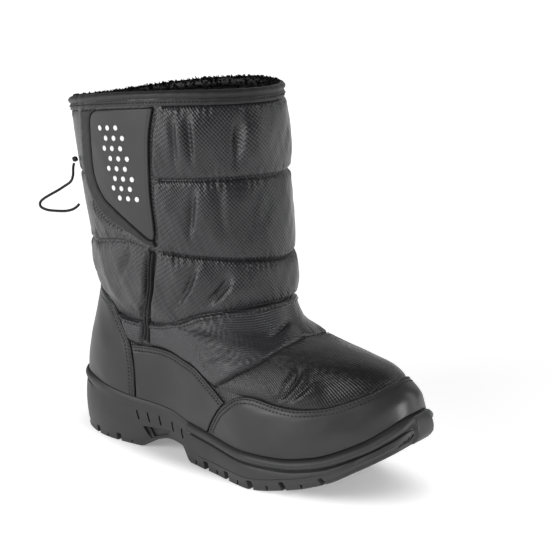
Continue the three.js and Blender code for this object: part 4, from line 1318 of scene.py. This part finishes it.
@dataclass
class Outsole:
    """Moulded cup sole with a beaded lip, cut lugs, and an arch with slots and a window."""

    chamfer: float = 3.0
    tread_inset: float = 1.2
    bulge: float = 1.0
    groove: float = 1.6
    groove_half: float = 1.0
    bead: float = 1.5
    lip: float = 7.5
    lip_round: float = 0.9
    cup_depth: float = 9.0
    gap: float = 0.3
    channel: float = 7.0
    channel_depth: float = 5.0
    ledge: float = 9.5
    ledge_step: float = 0.4
    bumper: float = 1.6
    bumper_lean: float = 9.0
    bumper_from: float = 0.958
    wall_slot: tuple[float, float, float] = (1.4, 2.8, 7.5)
    toe_rib: tuple[float, float, float] = (1.0, 2.8, 8.5)
    window_depth: float = 1.8
    inner_window: float = 0.72
    columns: int = 300

    def cuts(self, table: Sequence[LugGap]) -> bmesh.types.BMesh:
        """Cutter of the gaps or of the narrow cuts across the tread."""
        build = bmesh.new()
        for cut in table:
            x = cut.at * LAST.sole_length
            rise = math.atan2(float(LAST.sole_bottom(x + 5) - LAST.sole_bottom(x - 5)), 10.0)
            size = Matrix.Diagonal((cut.width, 4 * LAST.ball_half, 2 * cut.depth, 1.0))
            spot = Vector(((x + SHIFT[0]), 0.0, float(LAST.sole_bottom(x))))
            matrix = Matrix.Scale(MM, 4) @ Matrix.Translation(spot) @ Matrix.Rotation(-rise, 4, "Y") @ size
            bmesh.ops.create_cube(build, size=1.0, matrix=matrix)
        return build

    def channels(self) -> bmesh.types.BMesh:
        """Cutter of the channels along the middle of the tread."""
        build = bmesh.new()
        for start, end in LUG_CHANNELS:
            length = (end - start) * LAST.sole_length
            size = Matrix.Diagonal((length, self.channel, 2 * self.channel_depth, 1.0))
            spot = Vector(((start + end) / 2 * LAST.sole_length + SHIFT[0], 0.0, 0.0))
            matrix = Matrix.Scale(MM, 4) @ Matrix.Translation(spot) @ size
            bmesh.ops.create_cube(build, size=1.0, matrix=matrix)
        return build

    def slots(self, table: Sequence[Slot], size: tuple[float, float, float]) -> bmesh.types.BMesh:
        """Cutter of slanted slots in the wall on both sides.

        Args:
            table: Where the slots are.
            size: Width, depth and length of a slot.

        Returns:
            The cutter.
        """
        build = bmesh.new()
        for side in (1.0, -1.0):
            for slot in table:
                turns = side * (slot.turn + np.array([-0.002, 0.0, 0.002]))
                z = LAST.point(turns, 0.0)[1, 2] - slot.drop
                before, spot, after = LAST.edge(turns, -self.bulge / 2, z)
                along = Vector(after - before).normalized()
                out = Vector((0.0, 0.0, 1.0)).cross(along)
                frame = Matrix((along, out, Vector((0.0, 0.0, 1.0)))).transposed().to_4x4()
                matrix = Matrix.Translation(Vector(spot + SHIFT)) @ frame @ Matrix.Rotation(slot.lean, 4, "Y")
                matrix = Matrix.Scale(MM, 4) @ matrix @ Matrix.Diagonal((*size, 1.0))
                bmesh.ops.create_cube(build, size=1.0, matrix=matrix)
        return build

    def windows(self, share: float, depth: float) -> bmesh.types.BMesh:
        """Cutter of the window on the arch, or of the smaller step inside it.

        Args:
            share: Size against the whole window.
            depth: Depth under the wall.

        Returns:
            The cutter.
        """
        corners = np.array(ARCH_WINDOW)
        corners = corners.mean(0) + (corners - corners.mean(0)) * share
        pairs = zip(corners, np.roll(corners, -1, axis=0))
        ring = np.concatenate([np.linspace(a, b, 6)[:-1] for a, b in pairs])
        build = bmesh.new()
        for side in (1.0, -1.0):
            turns = side * np.arccos(1 - 2 * ring[:, 0] / LAST.sole_length) / PI
            edges = []
            for inset in (-4.0, depth):
                spots = (LAST.edge(turns, inset, ring[:, 1]) + SHIFT) * MM
                edges += build.faces.new([build.verts.new(spot) for spot in spots]).edges[:]
            bmesh.ops.bridge_loops(build, edges=edges)
        return build

    def cutters(self) -> list[bpy.types.Mesh]:
        """Meshes of everything that is cut out of the sole."""
        meshes = []
        soft = [self.cuts(LUG_GAPS), self.channels(), self.slots(WALL_SLOTS, self.wall_slot)]
        for build in soft:
            bmesh.ops.bevel(build, geom=build.edges[:], offset=0.4 * MM, segments=2, affect="EDGES",
                            profile=0.5, material=-1)
        sharp = [self.cuts(SIPES), self.slots(TOE_RIBS, self.toe_rib), self.windows(1.0, self.window_depth),
                 self.windows(self.inner_window, 2 * self.window_depth)]
        for build in soft + sharp:
            bmesh.ops.recalc_face_normals(build, faces=build.faces)
            meshes.append(to_mesh("cut", build))
        return meshes

    def wall(self, turns: Array) -> list[Array]:
        """Rows of the sole from the tread up to the cup: shoulder, side, groove, beaded lip and bumper."""
        side = np.abs(turns)
        low = LAST.sole_bottom(LAST.along(turns))
        rim = LAST.point(turns, 0.0)[..., 2]
        share = Curve([0, 0.16, 0.22, 0.450, 0.459, 0.91, 0.955, 1.0], [0.6, 0.6, 0, 0, 1, 1, 0.25, 0])(side)
        proud = self.ledge_step * Curve([0, 0.46, 0.49, 0.80, 0.86, 1.0], [0.15, 0.15, 1, 1, 0.1, 0])(side)
        bumper = ease((side - self.bumper_from) / 0.006 + 0.5)
        groove, foot, lip = self.groove * share, self.chamfer, rim - self.lip
        high = lip - self.groove_half
        ledge = low + self.ledge
        rows = [(foot - proud, low), (0.52 * foot - proud, low + 0.4), (0.3 * foot - proud, low + 1.1)]
        for t in (0.0, 0.5, 0.94, 1.0, 1.06):
            above = foot + (self.ledge - foot) * t
            rows.append((self.swell(low, high, above) - proud * (t < 0.97), low + above))
        for t in (0.2, 0.45, 0.7, 0.88):
            z = ledge + 0.8 + (high - ledge - 0.8) * t
            rows.append((self.swell(low, high, z - low), z))
        for inset, t in ((0.1, -1.0), (0.75, -0.5), (1.0, 0.0), (0.75, 0.5)):
            rows.append((inset * groove, lip + self.groove_half * t))
        for t in (0.0, 0.12, 0.28, 0.46, 0.64, 0.8, 0.92):
            inset = -(self.bead * share + 0.25) * math.sin(PI * t) ** 0.8 + self.lip_round * t ** 4
            rows.append((inset, lip + self.groove_half + (self.lip - self.groove_half) * t))
        rows += [(self.lip_round, rim + 0.05), (self.lip_round + 0.5, rim + 0.25)]
        placed = []
        for inset, z in rows:
            t = np.clip((z - low) / (rim - low), 0, 1)
            smooth = foot * (1 - ease(t * 4)) + self.lip_round * ease((t - 0.85) / 0.15) - np.sin(PI * t)
            smooth += self.bumper_lean * t * (t - 0.8)
            placed.append(LAST.edge(turns, inset * (1 - bumper) + (smooth - self.bumper) * bumper, z))
        return placed

    def swell(self, low: Array, high: Array, above: Array) -> Array:
        """Inset of the wall at a height above the tread."""
        t = np.clip((above - self.chamfer) / (high - low - self.chamfer), 0, 1)
        return self.tread_inset * (1 - t) ** 3 - self.bulge * 4 * t * (1 - t)

    def build(self) -> bpy.types.Object:
        """Make the sole."""
        turns = np.linspace(-1, 1, self.columns * 2 + 1)
        rim = LAST.point(turns, 0.0)[..., 2]
        wall = self.wall(turns)
        rows = fan(wall[0], (0.0, 0.35, 0.7, 0.9)) + wall
        rows.append(LAST.foot(turns, self.gap, rim + 0.15))
        inner = LAST.foot(turns, self.gap, rim - self.cup_depth)
        rows += fan(inner, (1.0, 0.6, 0.3, 0.0))
        piece = place("cup_outsole", wrapped("outsole", rows), RUBBER, "outsole", "rubber")
        for cut in self.cutters():
            tool = bpy.data.objects.new("cut", cut)
            bpy.context.scene.collection.objects.link(tool)
            modifier = piece.modifiers.new("cut", "BOOLEAN")
            modifier.operation = "DIFFERENCE"
            modifier.solver = "EXACT"
            modifier.object = tool
            bake(piece)
            bpy.data.objects.remove(tool)
            bpy.data.meshes.remove(cut)
        piece.data.shade_smooth()
        piece.data.set_sharp_from_angle(angle=math.radians(38))
        return piece


def bake(piece: bpy.types.Object) -> None:
    """Turn a piece's modifiers into its mesh."""
    depsgraph = bpy.context.evaluated_depsgraph_get()
    old = piece.data
    name = old.name
    piece.data = bpy.data.meshes.new_from_object(piece.evaluated_get(depsgraph))
    piece.modifiers.clear()
    bpy.data.meshes.remove(old)
    piece.data.name = name


@dataclass
class Footbed:
    """Felt insole lying in the cup of the sole."""

    inset: float = 4.1
    lift: float = 0.3
    thick: float = 4.0
    cup_depth: float = 9.0
    rises: tuple[float, ...] = (0.65, 0.85, 0.925, 0.95, 0.975, 1.0)

    def build(self) -> bpy.types.Object:
        """Make the insole with a soft crown."""
        turns = np.linspace(-1, 1, 141)
        floor = LAST.point(turns, 0.0)[..., 2] - self.cup_depth + self.lift
        edge = LAST.foot(turns, -self.inset, floor)
        rows = fan(edge, (0.0, 0.5, 0.96, 1.0))
        crown = fan(edge, (1.0, 0.985, 0.96, 0.8, 0.5, 0.0))
        rows += [row + [0.0, 0.0, rise * self.thick] for row, rise in zip(crown, self.rises)]
        return place("felt_insole", wrapped("insole", rows), FELT, "insole", "felt")


@dataclass
class Lining:
    """Fleece lining inside the shaft, with a ragged pile at the collar."""

    outer: float = -2.2
    wall: float = 3.6
    columns: int = 260
    rows: int = 70
    tuft_count: int = 1500

    def build(self) -> bpy.types.Object:
        """Make the lining."""
        turns = np.linspace(-1, 1, self.columns + 1)
        ups = np.linspace(0.02, 0.985, self.rows)[:, None]
        turn, up = np.broadcast_arrays(turns[None], ups)
        pile = Ripples(31, 7.0, 7.0, 16)(cloth_of(LAST.point(turn, up), self.columns // 2))
        inner = LAST.off(turn, up, -self.wall + 0.1 - 0.25 * np.abs(pile))
        outer = LAST.off(turn, up, self.outer)
        mesh = wrapped("lining", [*inner, *outer[::-1], inner[0]])
        return place("fleece_lining", mesh, FLEECE, slot="felt")

    def tufts(self) -> bpy.types.Object:
        """Make the ragged pile that stands up inside the collar."""
        draw = np.random.default_rng(71)
        count = self.tuft_count
        turn = draw.uniform(-1, 1, count)
        depth = draw.uniform(-self.wall - 2.6, -self.wall + 1.0, count)
        top = LAST.point(turn, 1.0)
        rise = unit(top - LAST.point(turn, SEAMS.binding_up))
        out = LAST.normal(turn, np.ones(count))
        high, low = draw.uniform(1.6, 3.0, count), draw.uniform(-5.0, 2.2, count)
        height = np.where(depth > -self.wall - 0.8, high, low)
        spots = top + out * depth[:, None] + rise * height[:, None]
        ways = rise * draw.uniform(0.3, 1.0, (count, 1)) - out * draw.uniform(0.0, 0.9, (count, 1))
        ways += draw.normal(0.0, 0.45, (count, 3))
        sizes = draw.uniform(0.7, 1.3, count)
        heap = Heap()
        for spot, way, size in zip(spots, ways, sizes * MM):
            bmesh.ops.create_cone(heap.room(), cap_ends=True, segments=5, radius1=0.75 * size,
                                  radius2=0.12 * MM, depth=2.6 * size, matrix=stand(spot, way))
        return place("fleece_pile", heap.mesh("tufts"), FLEECE)


@dataclass
class CollarBinding:
    """Folded binding over the collar's edge, with a row of stitches."""

    wall: float = 3.6
    gap: float = 0.3
    thick: float = 1.3
    leg: float = 7.6
    crown: float = 0.9
    columns: int = 420

    def build(self) -> list[bpy.types.Object]:
        """Make the binding and its stitches."""
        turns = np.linspace(-1, 1, self.columns + 1)
        top = LAST.point(turns, 1.0)
        rise = unit(top - LAST.point(turns, SEAMS.binding_up))
        out = LAST.normal(turns, 0 * turns + 1)
        wave = Ripples(41, 14.0, 400.0)(cloth_of(top[None], self.columns // 2)[0])
        face, back = self.gap + self.thick, -self.wall - self.gap - self.thick
        peak = face + self.crown
        profile = [
            (self.gap, -self.leg), (self.gap + 0.4, -self.leg - 0.2), (face - 0.7, -self.leg - 0.1),
            (face - 0.4, -self.leg + 0.5), (face - 0.35, -self.leg + 1.6), (face - 0.6, -self.leg + 2.4),
            (face - 0.35, -self.leg + 3.1), (face - 0.4, -self.leg + 3.9), (face - 0.8, -3.2),
            (face - 1.1, -2.8),
            (face - 0.6, -2.3), (face + 0.1, -1.5), (face + 0.45, -0.5), (face + 0.3, 0.5),
            (face - 0.6, 1.6), (-0.6, peak - 0.2), (-1.8, peak), (-3.0, peak - 0.4), (back + 1.4, 1.2),
            (back + 0.4, 0.2), (back + 0.6, -2.0), (back + 0.9, -4.0), (-self.wall - self.gap, -4.0),
            (-self.wall - self.gap, self.gap), (self.gap, self.gap), (self.gap, -self.leg),
        ]
        rows = []
        for offset, height in profile:
            swell = 0.2 * wave if offset > self.gap or height > 1 else 0 * wave
            rows.append(top + out * (offset + swell)[:, None] + rise * (height + 0.15 * wave)[:, None])
        piece = place("collar_binding", wrapped("binding", rows), BINDING, "collar_binding", "binding")
        heap = Heap()
        line = np.stack([np.linspace(-0.999, 0.999, 400), np.full(400, SEAMS.binding_up + 0.006)], -1)
        StitchRow(line, face - 0.1).into(heap)
        return [piece, place("collar_stitches", heap.mesh("stitches"), THREAD)]


@dataclass
class Closure:
    """Coated flap on the outer side of the shaft, with its woven band and the raised seam below it."""

    low: float = 0.1
    flap_height: float = 2.2
    band_height: float = 2.8
    band_roll: float = 1.2
    band_ridge: float = 0.12
    piping_half: float = 3.2
    piping_top: float = 2.2
    piping_height: float = 2.6
    piping_steps: int = 200
    dot_radius: float = 2.0
    dot_proud: float = 0.18

    def band_outline(self) -> Outline:
        """Outline of the flap and its band together."""
        front = smooth_line(FLAP_FRONT)
        rear = smooth_line(BAND_REAR)
        return Outline(np.concatenate([front, rear[::-1], front[:1]]))

    def piping_line(self) -> Array:
        """Path of the raised seam, from the side panel up to the flap."""
        return smooth_line(PIPING_PATH)

    def flap(self) -> list[bpy.types.Object]:
        """Make the flap and its stitches."""
        front, foot = smooth_line(FLAP_FRONT), smooth_line(FLAP_FOOT)[::-1]
        rear = smooth_line(FLAP_REAR)
        top = np.linspace(rear[-1], front[-1], 60)
        panel = CoatedPanel("closure_flap", foot, top, rear, front, [front[::-1]], low=self.low, seed=9,
                            thick=self.flap_height - self.low, rows_from_edge=(1.8,), coarse=1.6, roll=1.1)
        return panel.build()

    def band(self) -> bpy.types.Object:
        """Make the woven band round the flap's back edge."""
        inner = np.concatenate([smooth_line(FLAP_FOOT), smooth_line(FLAP_REAR)[1:]])
        outer = smooth_line(BAND_REAR)
        inner, outer = (LAST.spaced(line, np.linspace(0, 1, 181)) for line in (inner, outer))
        shares = np.concatenate([[0.03, 0.05, 0.09], np.linspace(0.16, 0.88, 10), [0.94, 0.98, 1.0]])
        shares = shares[:, None, None]
        grid = inner * (1 - shares) + outer * shares
        base = LAST.point(grid[..., 0], grid[..., 1])
        rolled = rounded(Outline(border(grid)).distance(base) / self.band_roll)
        ridges = self.band_ridge * np.cos(2 * PI * shares[..., 0] * 4)
        waves = 0.25 * Ripples(51, 12.0, 60.0)(cloth_of(base, base.shape[1] // 2))
        height = self.low + rolled * (self.band_height - self.low + ridges + waves)
        mesh = slab("band", grid, height, self.low, {})
        return place("flap_binding", mesh, TAPE, "flap_binding", "binding")

    def piping(self) -> bpy.types.Object:
        """Make the raised double seam."""
        count = self.piping_steps
        line = LAST.spaced(self.piping_line(), np.linspace(0, 1, count))
        halves = self.piping_half - (self.piping_half - self.piping_top) * ease(np.linspace(0, 1.6, count))
        shares = np.linspace(-1, 1, 21)
        grid = np.array([beside(line, share * halves) for share in shares])
        side = np.abs(shares)[:, None]
        profile = np.maximum(self.piping_height * np.abs(np.sin(PI * side)), 0.4 * (1 - side) + 0.05)
        waves = Ripples(61, 9.0, 400.0)(cloth_of(LAST.point(grid[..., 0], grid[..., 1]), count // 2))
        ends = rounded(np.minimum(np.arange(count), count - 1 - np.arange(count)) / 4)
        rise = profile * (1 + 0.08 * waves) * ends
        rise[[0, -1]] = 0.0
        mesh = slab("piping", grid, self.low + rise, self.low, {})
        return place("side_seam_piping", mesh, TAPE, "side_seam_piping", "binding")

    def dots(self) -> bpy.types.Object:
        """Print a plain field of reflective dots on the flap."""
        build = bmesh.new()
        for row in range(8):
            for k in range(3):
                turn = np.array(0.425 + 0.03 * k + 0.015 * (row % 2) + 0.004 * row)
                up = np.array(0.945 - 0.0185 * row)
                spot = LAST.off(turn, up, self.flap_height + self.dot_proud)
                matrix = stand(spot, LAST.normal(turn, up)) @ Matrix.Diagonal((1.0, 1.0, 0.12, 1.0))
                bmesh.ops.create_uvsphere(build, u_segments=14, v_segments=5, radius=self.dot_radius * MM,
                                          matrix=matrix)
        return place("reflective_dots", to_mesh("dots", build), REFLECTIVE)


@dataclass
class Drawcord:
    """Thin elastic cord that leaves its knot, hangs in a loop and goes back into the shaft."""

    diameter: float = 2.0
    knot_radius: float = 2.6

    def build(self) -> list[bpy.types.Object]:
        """Make the cord and its knot."""
        path = (smooth_line(CORD_ROUTE, 80) + SHIFT) * MM
        curve = bpy.data.curves.new("drawcord", "CURVE")
        curve.dimensions = "3D"
        curve.bevel_depth = self.diameter / 2 * MM
        curve.bevel_resolution = 4
        curve.use_fill_caps = True
        spline = curve.splines.new("POLY")
        spline.points.add(len(path) - 1)
        spline.points.foreach_set("co", np.concatenate([path, np.ones((len(path), 1))], axis=1).ravel())
        curve.materials.append(ELASTIC.material())
        cord = bpy.data.objects.new("drawcord", curve)
        bpy.context.scene.collection.objects.link(cord)
        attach(cord, BODY)
        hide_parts("drawcord")
        build = bmesh.new()
        centre = Vector((np.array(KNOT_PLACE) + SHIFT) * MM)
        for tilt, size in ((0.3, (1.0, 0.75, 0.6)), (1.3, (0.8, 0.95, 0.55)), (2.3, (0.9, 0.7, 0.7))):
            matrix = Matrix.Translation(centre) @ Matrix.Rotation(tilt, 4, "Y")
            matrix = matrix @ Matrix.Diagonal((*size, 1.0))
            bmesh.ops.create_uvsphere(build, u_segments=20, v_segments=12, radius=self.knot_radius * MM,
                                      matrix=matrix)
        knot = place("cord_knot", to_mesh("knot", build), ELASTIC, "cord_knot", "elastic")
        return [cord, knot]


# Floor, light and camera

@dataclass
class Studio:
    """Pale floor, soft lights and the camera of the photograph."""

    azimuth: float = 37.2
    elevation: float = 14.55
    distance: float = 1.05
    target: Spot = (0.03044, 0.00002, 0.1364)
    focal_pixels: float = 1490.0
    image: float = 560.0
    room: float = 12.0
    world: float = 0.13

    def camera(self) -> None:
        """Set up the camera."""
        turn, rise = math.radians(self.azimuth), math.radians(self.elevation)
        back = Vector((math.sin(turn) * math.cos(rise), -math.cos(turn) * math.cos(rise), math.sin(rise)))
        data = bpy.data.cameras.new("camera")
        data.sensor_width = 36.0
        data.lens = data.sensor_width * self.focal_pixels / self.image
        camera = bpy.data.objects.new("camera", data)
        camera.location = Vector(self.target) + back * self.distance
        camera.rotation_euler = back.to_track_quat("Z", "Y").to_euler()
        bpy.context.scene.collection.objects.link(camera)
        bpy.context.scene.camera = camera

    def light(self, name: str, at: Spot, size: tuple[float, float], power: float,
              aim: Spot = (0.0, 0.0, 0.12), spread: float = 180.0) -> None:
        """Add a soft light.

        Args:
            name: Name of the light.
            at: Its place.
            size: Its width and height.
            power: Its power in watts.
            aim: The place that it looks at.
            spread: Width of its beam in degrees, less than 180 behind a grid.
        """
        data = bpy.data.lights.new(name, "AREA")
        data.shape = "RECTANGLE"
        data.size, data.size_y = size
        data.energy = power
        data.spread = math.radians(spread)
        lamp = bpy.data.objects.new(name, data)
        lamp.location = at
        lamp.visible_camera = False
        lamp.rotation_euler = (Vector(at) - Vector(aim)).to_track_quat("Z", "Y").to_euler()
        bpy.context.scene.collection.objects.link(lamp)

    def board(self, name: str, build: bmesh.types.BMesh) -> bpy.types.Object:
        """Put up a white board that isn't part of the boot."""
        board = bpy.data.objects.new(name, to_mesh(name, build))
        bpy.context.scene.collection.objects.link(board)
        board.data.materials.append(FLOOR.material())
        return board

    def build(self) -> None:
        """Set up floor, backdrop, light and camera. The backdrop is there for the camera alone."""
        self.camera()
        build = bmesh.new()
        bmesh.ops.create_grid(build, x_segments=1, y_segments=1, size=self.room)
        self.board("floor", build)
        build = bmesh.new()
        bmesh.ops.create_cone(build, segments=64, radius1=self.room, radius2=self.room, depth=self.room)
        backdrop = self.board("backdrop", build)
        backdrop.visible_diffuse = backdrop.visible_glossy = backdrop.visible_shadow = False
        world = bpy.data.worlds.new("studio")
        world.use_nodes = True
        sky = world.node_tree.nodes["Background"]
        sky.inputs["Color"].default_value = (1.0, 1.0, 1.0, 1.0)
        sky.inputs["Strength"].default_value = self.world
        bpy.context.scene.world = world
        self.light("key", (-0.7, -1.8, 0.9), (1.5, 1.2), 30.0)
        self.light("rim", (1.3, 0.95, 0.75), (0.55, 1.9), 9.0)
        self.light("back", (-0.3, 1.9, 0.9), (1.4, 1.2), 3.0)
        self.light("toe", (0.45, -0.06, 0.09), (0.26, 0.16), 0.075, (0.15, 0.0, 0.03), 24.0)
        bpy.context.scene.view_settings.view_transform = "Standard"


def main() -> None:
    """Build the boot and report each piece."""
    logging.basicConfig(level=logging.INFO, format="%(name)s %(message)s")
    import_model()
    Studio().build()
    Drawcord().build()
    closure = Closure()
    side = side_panel(True)
    panels = [toe_cap(), heel_counter(), side, side_panel(False)]
    covers = [
        Outline(np.concatenate([smooth_line(TOE_SIDE), smooth_line(TOE_TOP)[1:], [[1.0, 0.0]]])),
        Outline(np.concatenate([smooth_line(COUNTER_SIDE), smooth_line(COUNTER_TOP)[1:], [[0.0, 0.0]]])),
        Outline(np.concatenate([side.bottom, side.right[1:], side.top[::-1][1:], side.left[::-1][1:]])),
    ]
    upper = QuiltedUpper()
    upper.build(closure.band_outline(), covers, Outline(closure.piping_line()))
    upper.stitches()
    Outsole().build()
    Footbed().build()
    lining = Lining()
    lining.build()
    lining.tufts()
    CollarBinding().build()
    for panel in panels:
        panel.build()
    closure.flap()
    closure.band()
    closure.piping()
    closure.dots()


if __name__ == "__main__":
    main()
